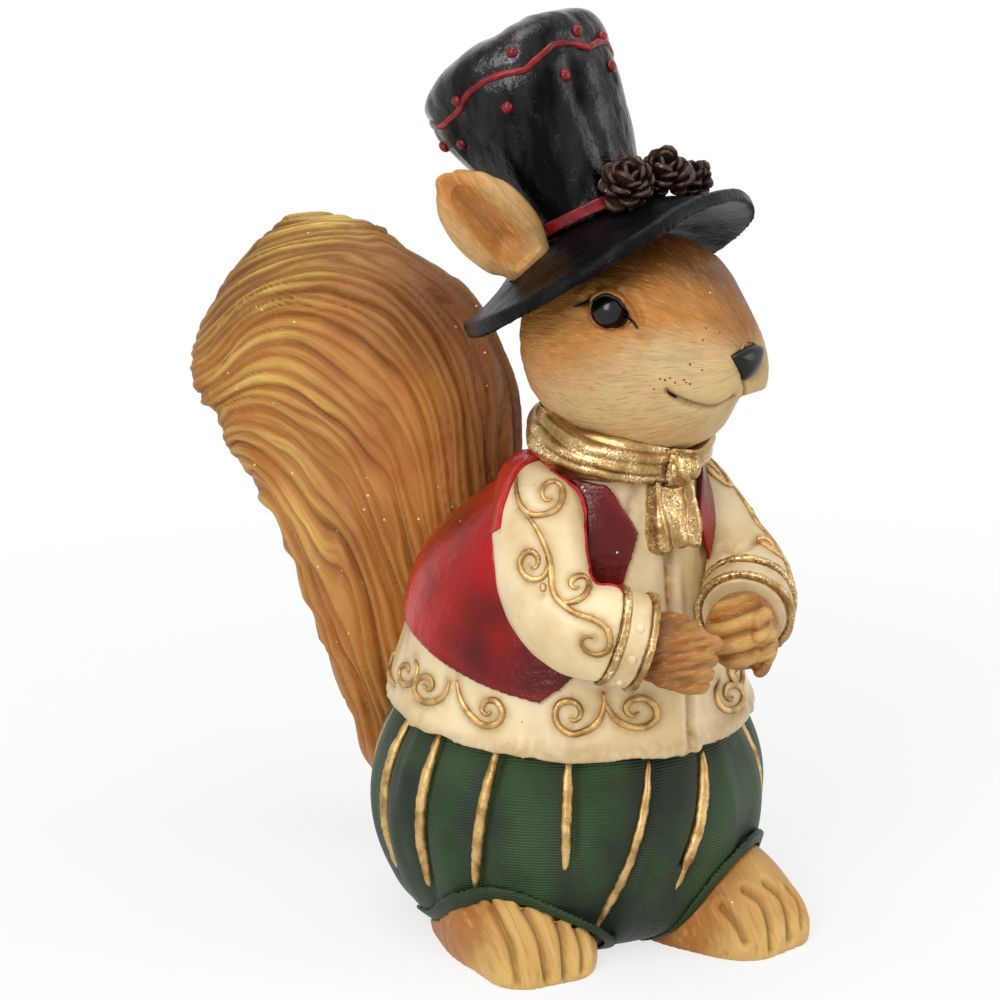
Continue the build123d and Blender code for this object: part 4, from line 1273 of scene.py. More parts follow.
mouth_gap = path_distance(folded, mouth)
crease_gap = path_distance(folded, lid_crease)
front = ramp(-rear, 14, 30)
relief = 1.5 * near_point((-6.5, -31.5, -5.5), 6.0)
relief += 0.9 * near_point((-16.0, -10.0, -13.0), 13)
relief -= 0.9 * near_point((-15.0, -22.0, 1.0), 8)
relief -= 0.9 * hill(path_distance(folded, cheek_line), 3.5)
relief += 0.8 * near_point((-14.0, -17.0, 17.0), 8)
relief -= 1.5 * hill(mouth_gap, 0.75)
relief += 0.5 * hill(mouth_gap - 2.6, 2.0)
relief -= 1.7 * hill(middle, 1.0) * front * ramp(-up, 2, 5) * ramp(up, -9.5, -8)
# the chin lies well behind the lip pads
under_lip = ramp(-up, 8.2, 11.0) * (1 - 0.75 * ramp(-up, 12, 24)) * ramp(-rear, 15, 29)
relief -= 5.0 * under_lip * ramp(left, -13, -2)
relief += 0.8 * hill(crease_gap - 2.2, 1.6) - 0.8 * hill(crease_gap, 0.7)
relief -= 1.6 * hill(lengths_of(local - (-1.5, -36, -0.5)), 5.0)
turn = np.arctan2(up, -left)
comb = joined(rear + up * 0.35, turn * 22, left * 0)
tufts = noise(comb[:, :2], (5.5, 1.7), 3)
relief += 0.20 * tufts * (1 - front * 0.6)
carve(head, relief)

# the solid keeps pockets for the nose and the eyes: here they are closed, the nose sits on
# the skin, and the lids are opened again below
EYE_RADIUS = 5.6
SOCKET_SHARE = 0.975
EYE = np.array((-20.1, -6.9, 12.5))
local = head_local(points_mm(head))
depth = lengths_of(local / HEAD_HALF_MM)
pocket = (np.abs(local[:, 0] + 1.6) < 8.5) & (local[:, 1] < -22) & (np.abs(local[:, 2] - 2.2) < 6.2)
pocket |= lengths_of(folded_head(points_mm(head)) - EYE) < EYE_RADIUS + 1.6
pocket &= depth < SOCKET_SHARE
local[pocket] *= (SOCKET_SHARE / depth[pocket])[:, None]
move_to(head, head_world(local))

# lids: the skin closes round the ball, except inside the almond of the open eye
ALMOND = ((0.6, -4.9), (-2.6, -4.1), (-4.6, -1.6), (-4.7, 0.6), (-3.6, 2.6), (-1.4, 3.6),
          (0.9, 2.9), (3.0, 1.0), (4.7, -1.3), (5.3, -2.9), (3.6, -4.2))
eye_right_way = np.array((CAMERA_RIGHT @ HEAD_LEFT, CAMERA_RIGHT @ HEAD_REAR, 0.0))
eye_up_way = np.array((CAMERA_UP @ HEAD_LEFT, CAMERA_UP @ HEAD_REAR, CAMERA_UP[2]))
eye_out_way = np.cross(eye_right_way, eye_up_way)
spots = points_mm(head)
folded = folded_head(spots)
offset = folded - EYE
across, upward, outward = offset @ eye_right_way, offset @ eye_up_way, offset @ eye_out_way
bearing = np.arctan2(upward, across)
almond = np.array(ALMOND)
almond_bearing = np.arctan2(almond[:, 1], almond[:, 0])
order = np.argsort(almond_bearing)
opening = np.interp(bearing, almond_bearing[order], np.hypot(*almond[order].T), period=2 * math.pi)
gap = np.hypot(across, upward)
ball = np.sqrt(np.clip((EYE_RADIUS + 0.35) ** 2 - gap ** 2, 0, None))
covered = ramp(gap - opening, -0.25, 0.35) * (gap < EYE_RADIUS + 0.2)
open_eye = 1 - ramp(gap - opening, -0.25, 0.35)
facing = outward > 0
push = np.clip(ball - outward, 0, None) * covered * facing
push -= np.clip(outward - ball + 1.2, 0, 4) * open_eye * facing
ring = hill(np.clip(gap - opening, 0, 9), 1.6) * (gap < 11) * facing * (1 - open_eye)
push += 0.55 * ring
out_local = np.where(head_local(spots)[:, :1] > 0, -1, 1) * eye_out_way[:1]
moved_local = head_local(spots)
moved_local[:, 0] += push * out_local[:, 0]
moved_local[:, 1] += push * eye_out_way[1]
moved_local[:, 2] += push * eye_out_way[2]
move_to(head, head_world(moved_local))
rim_mask = hill(np.clip(gap - opening, 0, 9) - 0.2, 0.9) * (1 - open_eye) * facing * (gap < 9)

cream = ramp(-up + (-rear) * 0.45, -6, 12) * 0.9
cream = np.maximum(cream, ramp(-rear, 22, 33) * ramp(6 - up, 0, 6))
cream += 0.55 * near_point((-16, -18, -1), 9)
top_brown = ramp(up + 0.2 * rear, 2, 22)
bridge = hill(left, 9) * ramp(up, 1, 8)
note_shares(head, cream=cream - 0.9 * top_brown - 0.7 * bridge)
# painted shade: the head's left side, turned from the key lamp, is darkened with the umber coat
far_side_shade = ramp(left + 0.3 * up, 2, 20) * ramp(up, 3, 10)
note_shares(head, umber=0.65 * top_brown * ramp(up, 12, 26) + 0.68 * bridge + far_side_shade)
dark = 0.62 * hill(mouth_gap, 0.55) + 0.5 * hill(middle, 0.7) * front * (up < -3) * (up > -9)
dark += 0.30 * np.clip(-tufts, 0, 1) * ramp(up, -14, 12)
note_shares(head, wash=dark)
note_shares(head, rust=rim_mask * (0.35 + 0.6 * (upward < 0)))
note(head, "comb", comb)

# %% [markdown]
# ## Fur paint
# Where the coat is short, the master is scratched with a loop tool and painted: a tan coat fading to
# cream, umber on the crown of the head and, as painted shade, on its left side, and short darker strokes
# that the wash leaves in each scratch. One paint serves the head, ears, paws and feet, and reads where
# each colour belongs from the notes on the mesh.

# %% Fur paint
def fur_paint(name, tan, pale, deep, stroke_mm=0.62, depth=0.75):
    """Short combed fur in acrylic; the colours are the open coat, the pale coat and the shade."""
    paint, tree, shader, place = new_paint(name, 0.44)
    comb = noted(tree, "comb", "Vector")
    hairs_place = scaled(tree, comb, (0.20 / stroke_mm, 0.9 / stroke_mm, 1.0))
    hairs = speckle(tree, hairs_place, 1.0, 2.5, 0.55, 0.25)
    patches = speckle(tree, place, 75.0, 3.0)
    blotch = add_node(tree, "ShaderNodeMath", {0: noted(tree, "cream"), 1: stretch(
        tree, patches, 0.3, 0.7, -0.12, 0.12)}, operation="ADD", use_clamp=True).outputs[0]
    tone = coats(tree, tan, (blotch, pale), (noted(tree, "umber"), deep),
                 (noted(tree, "rust"), "a35c33"),
                 (stretch(tree, hairs, 0.46, 0.32, 0.0, 0.32), "835226"),
                 (stretch(tree, hairs, 0.55, 0.70, 0.0, 0.32), "e2bb7c"),
                 (noted(tree, "wash"), "3a2414"),
                 (flecks(tree, place, 5.0, 0.24, 0.10), "fff2cf"))
    lay_paint(tree, shader, tone, hairs, depth, 0.0005)
    return paint


coat_paint = fur_paint("tan_fur_acrylic", "bd7f3a", "c8aa78", "7a471c")
dress(head, coat_paint)

# %% [markdown]
# ## Eyes and nose
# The eyes are balls of black gloss enamel under clear varnish, set behind
# raised lids, and each lash is a fine black line. Enamel flows out flat, so it
# is one of the smoothest finishes here.

# %% Eyes, lashes and nose
eye_enamel = flat_paint("black_gloss_enamel", "060607", 0.22, ior=1.33, coat=0.25)
black_line = flat_paint("black_brush_line", "17110e", 0.35)
rim_enamel = flat_paint("warm_brown_lid_line", "8f5428", 0.4)
red_dot = flat_paint("dark_red_brush_dots", "a02a22", 0.4)


def make_eye(node, rows=24, columns=48):
    """Ball of enamel as large as the eye's CAD solid."""
    low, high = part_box(node)
    centre = (np.array(low) + np.array(high)) / 2 / MM
    radius = (high[2] - low[2]) / 2 / MM
    points = []
    for row in range(rows + 1):
        slope = math.pi * row / rows
        for cosine, sine in around(columns):
            way = np.array((math.sin(slope) * cosine, math.sin(slope) * sine, math.cos(slope)))
            points.append(tuple((centre + radius * way) * MM))
    finish_piece(node + "_enamel", points, ring_faces(0, rows + 1, columns), eye_enamel,
                 node)


for node in ("eye_right", "eye_left"):
    make_eye(node)
new_head_skin = surface_of(head)
# lids: a soft roll above the ball and a warm rim under it, at the edge of the almond


def almond_line(first, last, share, lift, count=40):
    """Line at the eye's edge between two bearings in degrees, just off the ball."""
    line = []
    for degrees in np.linspace(first, last, count):
        angle = math.radians((degrees + 180) % 360 - 180)
        reach = share * np.interp(angle, almond_bearing[order], np.hypot(*almond[order].T),
                                  period=2 * math.pi)
        out = math.sqrt(max((EYE_RADIUS + lift) ** 2 - reach ** 2, 4.0))
        line.append(EYE + eye_right_way * reach * math.cos(angle)
                    + eye_up_way * reach * math.sin(angle) + eye_out_way * out)
    return np.array(line)


def both_eyes(line):
    """The line on each side of the head, with ways out of the ball, in world millimetres."""
    found = []
    for mirror in (1, -1):
        spots = head_world(line * (mirror, 1, 1))
        centre = head_world((EYE * (mirror, 1, 1))[None])[0]
        found.append((spots, unit(spots - centre)))
    return found


upper_edge = almond_line(-24, 158, 1.16, 0.15)
lower_edge = almond_line(-27, -206, 1.07, 0.05)
lash_edge = almond_line(-28, 150, 0.97, 0.45)
make_beads("upper_lids", [(*pair, 0.85, 0.70) for pair in both_eyes(upper_edge)], coat_paint)
make_beads("lower_lids", [(*pair, 0.75, 0.50) for pair in both_eyes(lower_edge)], rim_enamel)
lash_lines = [(*pair, 0.50, 0.42) for pair in both_eyes(lash_edge)]
for pixels in (((574, 307), (579, 306), (585, 303), (591, 299), (597, 297)),
               ((627, 314), (631, 319), (634, 323), (638, 329))):
    tip = folded_head(traced_line(new_head_skin, pixels, 14)[0])
    for mirror in (1, -1):
        lash_lines.append((*nearest_line(new_head_skin, head_world(tip * (mirror, 1, 1)), 0.25),
                           0.40, 0.30))
make_beads("lash_lines", lash_lines, black_line)
MOUTH_DARK_PIXELS = ((667, 391), (671, 394.5), (677, 397.5))
corner = traced_line(new_head_skin, MOUTH_DARK_PIXELS, 14)[0]
corners = [corner, head_world(head_local(corner) * (-1, 1, 1))]
make_beads("mouth_corners", [(*nearest_line(new_head_skin, line), 0.5, 0.22)
                             for line in corners], black_line)

# satin black with faint brush haze
nose_enamel, tree, shader, place = new_paint("black_satin_enamel", 0.30, ior=1.33, coat=0.1)
haze = stretch(tree, speckle(tree, place, 260.0, 4.0), 0.4, 0.75)
lay_paint(tree, shader, coats(tree, "070708", (haze, "161617")))
NOSE_OUTLINE = ((-7.7, 2.1), (-4.6, 2.9), (-1.2, 3.3), (2.0, 3.1), (4.4, 2.3), (4.5, 0.6), (2.9, -1.4),
                (0.4, -3.2), (-2.4, -4.5), (-3.9, -4.3), (-5.2, -2.6), (-6.6, -0.4))
NOSE_RINGS = ((1.05, -2.0), (1.05, -0.2), (1.0, 0.7), (0.86, 1.4), (0.62, 1.85), (0.32, 2.1))


def front_of_head(left_mm, up_mm):
    """Point and way out on the egg that the head is carved from, in front of the face."""
    depth = math.sqrt(1 - (left_mm / HEAD_HALF_MM[0]) ** 2 - (up_mm / HEAD_HALF_MM[2]) ** 2)
    spot = np.array((left_mm, -depth * HEAD_HALF_MM[1], up_mm))
    way = unit(spot / HEAD_HALF_MM ** 2)
    return head_world(spot[None])[0], head_world(way[None])[0] - HEAD_CENTRE


outline = smooth_path(list(NOSE_OUTLINE) + [NOSE_OUTLINE[0]], 36)[:-1]
nose_middle = outline.mean(axis=0)
points = []
for share, rise in NOSE_RINGS:
    for spot in nose_middle + (outline - nose_middle) * share:
        point, way = front_of_head(*spot)
        points.append(tuple((point + way * rise) * MM))
size = len(outline)
faces = ring_faces(0, len(NOSE_RINGS), size, inward=True)
point, way = front_of_head(*nose_middle)
points.append(tuple((point + way * 2.15) * MM))
top = (len(NOSE_RINGS) - 1) * size
faces += [(top + side, len(points) - 1, top + (side + 1) % size) for side in range(size)]
faces.append(tuple(range(size)))
finish_piece("nose_enamel", points, faces, nose_enamel, "nose")
FRECKLE_PIXELS = ((706, 328), (719.5, 332.5), (703, 340), (690, 364.5), (702, 370), (660, 379),
                  (665, 380), (670, 378), (675, 382.5), (684, 380), (686, 382.5), (690, 384), (654, 389))
freckles = [pixel_on(new_head_skin, pixel) for pixel in FRECKLE_PIXELS]
make_domes("freckle_dots", freckles, 0.30, 0.10, red_dot)

# %% [markdown]
# ## Ears
# Each ear is a leaf of resin, hollowed in front, with a rusty inside that fades
# into tan. Long strokes run from its root to the tip.

# %% Ears
EAR_SHIFT_MM = 2.6
EAR_HOLLOW_PIXELS = ((462, 190), (472, 202), (484, 215), (497, 229), (512, 245))
EAR_STROKE_PIXELS = (((452, 180), (476, 190), (505, 208), (535, 232)),
                     ((449, 188), (462, 216), (480, 240), (500, 262)))
ear_parts = {node: recast(node, 0.45) for node in ("ear_right", "ear_left")}
right_ear_skin = surface_of(ear_parts["ear_right"])
hollow = head_local(pixels_on(right_ear_skin, EAR_HOLLOW_PIXELS, 30))
ear_strokes = [head_local(pixels_on(right_ear_skin, line, 30)) for line in EAR_STROKE_PIXELS]
for node, ear in ear_parts.items():
    spots = points_mm(ear)
    local = head_local(spots)
    local[:, 0] = -np.abs(local[:, 0])
    gap = path_distance(local, hollow)
    relief = -1.9 * hill(gap, 3.0)
    for line in ear_strokes:
        relief += 0.5 * hill(path_distance(local, line), 2.0)
    mirrored = head_world(local)
    lengthwise = mirrored @ (-0.66 * CAMERA_RIGHT + 0.75 * CAMERA_UP)
    crosswise = mirrored @ (0.75 * CAMERA_RIGHT + 0.66 * CAMERA_UP)
    comb = joined(lengthwise, crosswise, gap * 0)
    relief += 0.34 * noise(comb[:, :2], (16.0, 1.5), 3)
    carve(ear, relief)
    if node == "ear_right":
        move_to(ear, points_mm(ear) + (-CAMERA_RIGHT + 0.45 * CAMERA_UP) * EAR_SHIFT_MM)
    note_shares(
        ear, cream=0.42 + 0.30 * noise(comb[:, :2], (18.0, 3.0), 4) - 0.6 * hill(gap, 5.0),
        umber=gap * 0, wash=0.3 * np.clip(-relief - 1.2, 0, 1),
        rust=0.60 * hill(gap, 3.6) * (0.7 + 0.4 * noise(comb[:, :2], (14.0, 2.2), 6)))
    note(ear, "comb", comb)
    dress(ear, coat_paint)

# %% [markdown]
# ## Paws and feet
# The fingers and toes are parted by grooves cut with the edge of a knife. The
# paws are combed and darker at the wrist. The toes are dry brushed in pale
# yellow, which stays on their tops only.

# %% Paws and feet
FIST_GROOVES = (((764, 603), (742, 612), (722, 619), (709, 622)),
                ((771, 623), (748, 631), (728, 637), (713, 640)),
                ((773, 643), (752, 652), (733, 656), (719, 658)),
                ((768, 662), (752, 669), (735, 671)))
FIST_RIDGES = (((768, 612), (745, 621), (725, 627), (710, 631)),
               ((772, 633), (750, 642), (730, 647), (716, 649)),
               ((772, 653), (752, 661), (734, 664)),
               ((752, 594), (735, 600), (718, 606)))
RIGHT_TOE_GROOVES = (((490, 905), (500, 925), (510, 945), (514, 965), (518, 986)),
                     ((522, 905), (532, 922), (540, 940), (545, 965), (548, 986)),
                     ((547, 905), (558, 922), (563, 940), (565, 965), (565, 983)),
                     ((565, 915), (576, 930), (583, 950), (583, 970)))
LEFT_TOE_GROOVES = (((722, 907), (737, 925), (745, 942)),
                    ((745, 890), (762, 903), (770, 925), (772, 951)),
                    ((765, 884), (781, 898), (788, 918), (789, 940)),
                    ((786, 888), (799, 905), (801, 926)))
limb_paint = fur_paint("combed_tan_fur_acrylic", "ac6c2c", "dab36a", "74431a", 0.62, 0.6)


def paint_limb(piece, relief, cream, umber, comb, wash):
    carve(piece, relief)
    note_shares(piece, cream=cream, umber=umber, wash=wash, rust=relief * 0)
    note(piece, "comb", comb)
    dress(piece, limb_paint)


for node, grooves, ridge_lines in (("paw_left", FIST_GROOVES, FIST_RIDGES), ("paw_right", (), ())):
    paw = recast(node, 0.4)
    skin = surface_of(paw)
    spots = points_mm(paw)
    low, high = spots.min(axis=0), spots.max(axis=0)
    relief, cream, wash = np.zeros(len(spots)), np.zeros(len(spots)), np.zeros(len(spots))
    for gap in gaps_to(skin, spots, grooves, 24):
        relief -= 1.0 * hill(gap, 0.8)
        wash += 0.45 * hill(gap, 0.7)
    for gap in gaps_to(skin, spots, ridge_lines, 24):
        relief += 0.55 * hill(gap, 1.6)
        cream += 0.65 * hill(gap, 1.8)
    across = (spots - spots.mean(axis=0)) @ CAMERA_RIGHT
    upward = (spots - spots.mean(axis=0)) @ CAMERA_UP
    comb = joined(across + 0.25 * upward, upward - 0.2 * across, across * 0)
    if node == "paw_right":
        comb_noise = noise(comb[:, :2], (6.0, 1.1), 3)
        relief += 0.55 * comb_noise
        wash += 0.50 * np.clip(-comb_noise, 0, 1)
        cream += 0.15 + 0.2 * ramp(across, 0, 8)
        umber = 0.25 + 0.7 * ramp(-across, -4, 9)
    else:
        relief += 0.12 * noise(comb[:, :2], (5.0, 1.4), 3)
        cream += 0.12
        umber = 0.1 + 0.5 * ramp(-upward, 4, 10) + 0.5 * ramp(upward, 7, 11)
    paint_limb(paw, relief, cream, umber, comb, wash)

# picture columns between which a foot turns from instep to toes, and the foot's outline in
# the picture against the CAD solid's: stretch and move across the view, growth in height
TOE_SPAN = {"foot_right": (455, 500), "foot_left": (692, 740)}
FOOT_FIT = {"foot_right": (1.10, -4.0, 1.03), "foot_left": (1.12, -1.2, 0.97)}
for node, grooves in (("foot_right", RIGHT_TOE_GROOVES), ("foot_left", LEFT_TOE_GROOVES)):
    foot = recast(node, 0.5)
    widen, shift, taller = FOOT_FIT[node]
    spots = points_mm(foot)
    middle_spot = (spots.min(axis=0) + spots.max(axis=0)) / 2
    off_line = (spots - middle_spot) @ CAMERA_RIGHT
    toes = 0.3 + 0.7 * ramp(-spots[:, 1], 22, 44)
    spots = spots + np.outer((off_line * (widen - 1) + shift) * toes, CAMERA_RIGHT)
    spots[:, 2] = spots[:, 2] * (1 + (taller - 1) * ramp(spots[:, 2], 0, 14))
    move_to(foot, spots)
    skin = surface_of(foot)
    relief, wash = np.zeros(len(spots)), np.zeros(len(spots))
    toe_zone = np.zeros(len(spots))
    for gap in gaps_to(skin, spots, grooves, 30):
        relief -= 1.9 * hill(gap, 0.9)
        relief += 0.6 * hill(gap - 2.6, 1.5)
        wash += 0.42 * hill(gap, 0.7)
        toe_zone = np.maximum(toe_zone, hill(gap, 5.5))
    comb = joined(spots[:, 1] * 0.8 - spots[:, 2] * 0.8, spots[:, 0], spots[:, 0] * 0)
    seen_at = pixels_of(spots)
    first, last = TOE_SPAN[node]
    front = ramp(seen_at[:, 0] + 0.35 * (seen_at[:, 1] - 940), first, last)
    relief += 0.22 * noise(comb[:, :2], (3.5, 1.1), 3) * (1 - 0.85 * front)
    relief *= ramp(spots[:, 2], 0.2, 2.0)
    cream = (0.45 + 0.4 * ramp(12 - spots[:, 2], 0, 12)) * front + 0.25 * toe_zone * front
    cream += 0.2 * noise(spots, 9.0, 5) * front
    umber = 0.25 * ramp(spots[:, 2], 10, 22) * (1 - front)
    paint_limb(foot, relief, cream, umber, comb, wash * (0.4 + 0.6 * front))

# %% [markdown]
# ## Hat
# The hat copies black leather: low dents, fine pits, and gloss varnish that
# picks up long pale highlights. The cord lies in a shallow groove, and the
# studs are drops of red enamel.

# %% Hat carving and leather paint
HAT_FOOT_MM = (0.0, 29 * 0.26, 28.5 * 0.65)
HAT_LEAN = math.radians(-29.5)
HAT_CENTRE = head_world(np.array((HAT_FOOT_MM,)))[0]
HAT_REAR = HEAD_REAR * math.cos(HAT_LEAN) + np.array((0, 0, math.sin(HAT_LEAN)))
HAT_AXIS = -HEAD_REAR * math.sin(HAT_LEAN) + np.array((0, 0, math.cos(HAT_LEAN)))
HAT_OUTSIDE_MM = 60


def hat_frame(spots):
    """Angle from the front towards the left, radius and height, in the hat's own frame."""
    offset = np.atleast_2d(spots) - HAT_CENTRE
    across_mm, rear_mm, high_mm = offset @ HEAD_LEFT, offset @ HAT_REAR, offset @ HAT_AXIS
    return np.arctan2(across_mm, -rear_mm), np.hypot(across_mm, rear_mm), high_mm


def crown_at(surface, turn, high_mm):
    """Point and normal of the hat's skin at an angle from its front and a height."""
    way = HEAD_LEFT * math.sin(turn) - HAT_REAR * math.cos(turn)
    return ray_on(surface, HAT_CENTRE + HAT_AXIS * high_mm + way * HAT_OUTSIDE_MM, -way)


def leather_finish(name, roughness, wet):
    """Black leather relief; wet is how strongly the varnish runs shine between duller ones."""
    paint, tree, shader, place = new_paint(name, roughness)
    pits = speckle(tree, place, 520.0, 4.0, 0.62)
    broad_marks = speckle(tree, place, 110.0, 4.0)
    tone = coats(tree, "040405", (stretch(tree, broad_marks, 0.40, 0.70), "0a0a0b"),
                 (stretch(tree, pits, 0.64, 0.74, 0, 0.6), "2a2929"),
                 (flecks(tree, place, 7.0, 0.26, 0.08), "d9c9a0"))
    # varnish ran down the sides and lies thicker in runs
    runs_place = scaled(tree, place, (48.0, 48.0, 13.0), (0.0, 0.35, 0.0))
    runs = speckle(tree, runs_place, 1.0, 4.0, 0.6)
    tree.links.new(stretch(tree, runs, 0.42, 0.66, 0.10, wet), shader.inputs["Specular IOR Level"])
    both_marks = calculate(tree, "ADD", pits, times(tree, broad_marks, 1.6))
    lay_paint(tree, shader, tone, both_marks, 0.5, 0.0007)
    return paint


crown_paint = leather_finish("gloss_black_leather_relief", 0.13, 1.1)
brim_paint = leather_finish("satin_black_leather_relief", 0.36, 0.45)
crown = recast("hat_crown", 0.6, plug="hat_dowel", soft=1)
crown_skin = surface_of(crown)
# angle from the front and height above the brim, read from the picture
CORD_HEIGHTS = ((-121, 48.9), (-104, 49.4), (-88, 52.3), (-75, 53.0), (-64, 52.5), (-53, 51.1),
                (-42, 52.6), (-29, 54.5), (-16, 53.4), (-4, 51.2), (11, 52.3))
STUD_PIXELS = ((512, 52), (577, 31), (457, 101), (565, 75), (507, 107), (462, 144), (611, 66),
               (602, 36))
# on the sides that the picture hides, the cord goes on in even waves
CORD_LEVEL_MM, CORD_WAVE_MM, CORD_WAVES = 51.0, 1.6, 5
cord_turns, cord_levels = np.array(CORD_HEIGHTS).T
turns = np.linspace(-math.pi, math.pi, 241)
degrees = np.degrees(turns)
waves = CORD_LEVEL_MM + CORD_WAVE_MM * np.sin(turns * CORD_WAVES + 1.2)
beyond = np.clip(cord_turns[0] - degrees, 0, None) + np.clip(degrees - cord_turns[-1], 0, None)
seen = hill(beyond, 14)
heights = np.interp(degrees, cord_turns, cord_levels) * seen + waves * (1 - seen)
cord_spots = np.array([crown_at(crown_skin, *place_mm)[0] for place_mm in zip(turns, heights)])
spots = points_mm(crown)
turn, radius, high_mm = hat_frame(spots)
wrap_path = joined(turn * 24, high_mm)
cord_gap = path_distance(spots, cord_spots)
relief = 0.50 * noise(wrap_path, (9, 15), 3) + 0.22 * noise(wrap_path, (3.2, 4.5), 5)
relief -= 1.1 * hill(turn + 0.42, 0.14) * ramp(high_mm, 12, 24) * ramp(58 - high_mm, 0, 10)
relief -= 0.7 * hill(turn + 1.15, 0.12) * ramp(high_mm, 18, 30) * ramp(48 - high_mm, 0, 10)
relief -= 0.7 * hill(cord_gap, 2.2)
relief += 0.7 * hill(np.abs(high_mm - 10.2), 1.0)
carve(crown, relief)
brim = recast("hat_brim", 0.55)
spots = points_mm(brim)
turn, radius, high_mm = hat_frame(spots)
wrap_path = joined(turn * 36, radius)
relief = 0.32 * noise(wrap_path, (14, 8), 4) + 0.14 * noise(wrap_path, (4, 4), 6)
relief += 0.7 * ramp(radius, 32, 42)
dent = pixel_on(surface_of(brim), (620, 225))[0]
if dent is not None:
    relief -= 0.7 * hill(lengths_of(spots - dent), 3.2)
carve(brim, relief)
for piece, finish in ((crown, crown_paint), (brim, brim_paint)):
    dress(piece, finish)

# %% Hat band, cord and studs
enamel_red, tree, shader, place = new_paint("dark_red_enamel", 0.28)
mottle = stretch(tree, speckle(tree, place, 300.0, 3.0), 0.38, 0.66)
lay_paint(tree, shader, coats(tree, "5e0d10", (mottle, "8e1a1f")))
new_crown_skin = surface_of(crown)
cord = make_beads("hat_cord_bead", [(*nearest_line(new_crown_skin, cord_spots, -0.15), 1.0, 1.0)],
                  enamel_red, "hat_cord")
carve(cord, 0.10 * noise(points_mm(cord), 2.0, 2))
studs = [pixel_on(new_crown_skin, pixel) for pixel in STUD_PIXELS]
# two rows go on round the sides that the picture hides: height, and turn in degrees
STUD_ROWS = ((56.5, 62), (45.5, 74))
STUD_STEP, STUD_COUNT = 28, 6
for high_mm, first_turn in STUD_ROWS:
    studs += [crown_at(new_crown_skin, math.radians(first_turn + STUD_STEP * index), high_mm)
              for index in range(STUD_COUNT)]
make_domes("hat_stud_drops", studs, 1.6, 1.3, enamel_red, "hat_studs")
band = recast("hat_band", 0.4)
spots = points_mm(band)
level = hat_frame(spots)[2]
middle_level = (level.min() + level.max()) / 2
spots = spots - np.outer((level - middle_level) * 0.36, HAT_AXIS)
move_to(band, spots)
carve(band, 0.18 * noise(spots, 3.0, 2))
dress(band, enamel_red)

# %% [markdown]
# ## Pine cones
# A cone is a core with rows of overlapping scales. The scales stand on a spiral
# of 137.5 degrees, as they do in nature, and each is a small shell, open
# towards the tip. Gold glitter sticks to a few of them.

# %% Pine cones
cone_paint, tree, shader, place = new_paint("dark_brown_cone_acrylic", 0.34)
patches = speckle(tree, place, 600.0, 3.0)
lay_paint(tree, shader, coats(
    tree, "0e0806", (stretch(tree, patches, 0.42, 0.68), "2b1a11"),
    (times(tree, noted(tree, "tip"), 0.45), "543a2c"),
    (flecks(tree, place, 1.6, 0.24, 0.30), "d2a55a")))

CORE_ROWS, CORE_COLUMNS, CORE_SHARE = 10, 16, 0.66
SCALE_SIDES = 10
GOLDEN_TURN = math.radians(137.5)


def cone_scale(centre, axis, out, size):
    """Points of one scale: an oval shell that tilts from the core towards the cone's tip."""
    side = unit(np.cross(axis, out))
    along = np.cross(out, side)
    if along @ axis < 0:
        along = -along
    lift = out * 0.80 + along * 0.60
    face = out * 0.60 - along * 0.80
    ring = []
    for thickness in (-0.5, 0.5):
        for cosine, sine in around(SCALE_SIDES):
            wide = cosine * size * 0.95
            high = (sine * 0.9 + 0.45) * size
            cup = -0.30 * (abs(wide) / size) ** 2 * size
            ring.append(centre + side * wide + lift * high
                        + face * (cup + thickness * size * 0.42))
    return ring


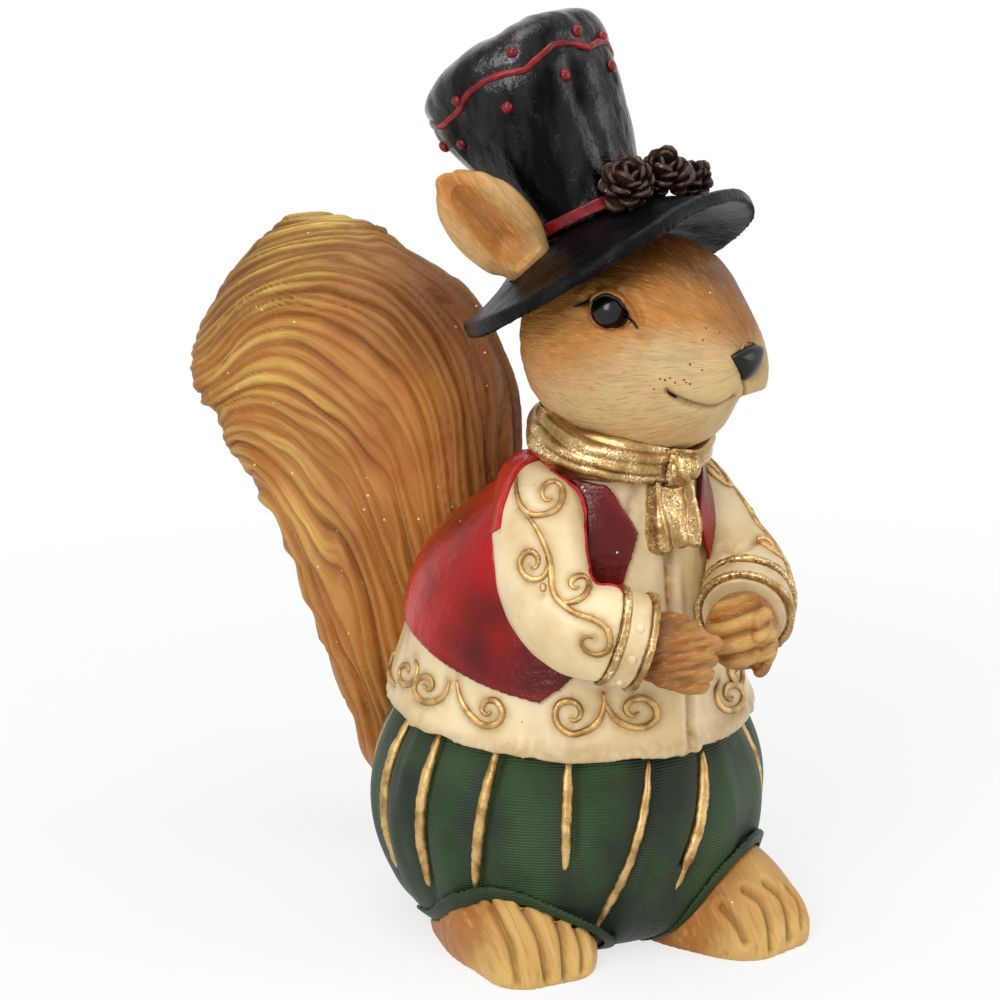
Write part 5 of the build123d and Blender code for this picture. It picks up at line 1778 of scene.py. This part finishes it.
rng = np.random.default_rng(7)
for node, count in (("pine_cone_1", 30), ("pine_cone_2", 27), ("pine_cone_3", 21)):
    low, high = (np.array(corner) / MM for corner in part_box(node))
    centre, radius = (low + high) / 2, (high - low).max() / 2
    axis = unit(HAT_AXIS * 0.5 - HAT_REAR * 0.72 - HEAD_LEFT * 0.45)
    first = unit(np.cross(axis, (0.1, 0.2, 0.95)))
    second = np.cross(axis, first)
    points = []
    for row in range(CORE_ROWS + 1):
        slope = math.pi * (0.02 + 0.96 * row / CORE_ROWS)
        for cosine, sine in around(CORE_COLUMNS):
            way = axis * math.cos(slope) + math.sin(slope) * (first * cosine + second * sine)
            points.append(tuple((centre + way * radius * CORE_SHARE) * MM))
    tips = [0.0] * len(points)
    faces = ring_faces(0, CORE_ROWS + 1, CORE_COLUMNS, inward=True)
    faces.append(tuple(range(CORE_COLUMNS)))
    last = CORE_ROWS * CORE_COLUMNS
    faces.append(tuple(last + c for c in range(CORE_COLUMNS - 1, -1, -1)))
    for index in range(count):
        rise = 0.94 - 1.75 * (index + 0.5) / count
        turn = index * GOLDEN_TURN + rng.normal(0, 0.2)
        ring = math.sqrt(max(1 - rise * rise, 0.0))
        out = axis * rise + ring * (first * math.cos(turn) + second * math.sin(turn))
        size = radius * (0.31 + 0.18 * ring) * (1 + rng.normal(0, 0.16))
        start = len(points)
        shape = cone_scale(centre + out * radius * 0.70, axis, out, size)
        points += [tuple(p * MM) for p in shape]
        tips += [0.2 + 0.8 * max(sine, 0) for _, sine in around(SCALE_SIDES)] * 2
        faces.append(tuple(start + step for step in range(SCALE_SIDES - 1, -1, -1)))
        faces.append(tuple(start + SCALE_SIDES + step for step in range(SCALE_SIDES)))
        faces += ring_faces(start, 2, SCALE_SIDES)
    cone = finish_piece(node + "_scales", points, faces, cone_paint, node)
    note(cone, "tip", np.array(tips))

# %% [markdown]
# ## Underside and dowels
# Green felt covers the hollow, and beech dowels hold head, hat and tail. The
# dowels are inside the casting, but they are real pieces with a real finish.

# %% Felt and wood
felt_cloth, tree, shader, place = new_paint("dark_green_felt", 0.95)
fibres = speckle(tree, place, 1400.0, 5.0)
lay_paint(tree, shader, coats(tree, "24402c", (fibres, "44624a")), fibres, 0.8, 0.0004)
beech, tree, shader, place = new_paint("beech_dowel", 0.6)
rings = speckle(tree, scaled(tree, place, (900, 900, 90)), 1.0, 4.0)
lay_paint(tree, shader, coats(tree, "c69a66", (rings, "e0bf91")))
for node, finish in (("base_cover", felt_cloth), ("neck_dowel", beech), ("hat_dowel", beech),
                     ("tail_dowel", beech)):
    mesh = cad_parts[node].data
    mesh.materials.clear()
    mesh.materials.append(finish)

# %% [markdown]
# ## View transform
# The visual model goes no more than half a millimetre past the CAD model's box,
# which the physics uses.

bpy.context.scene.view_settings.view_transform = "Standard"
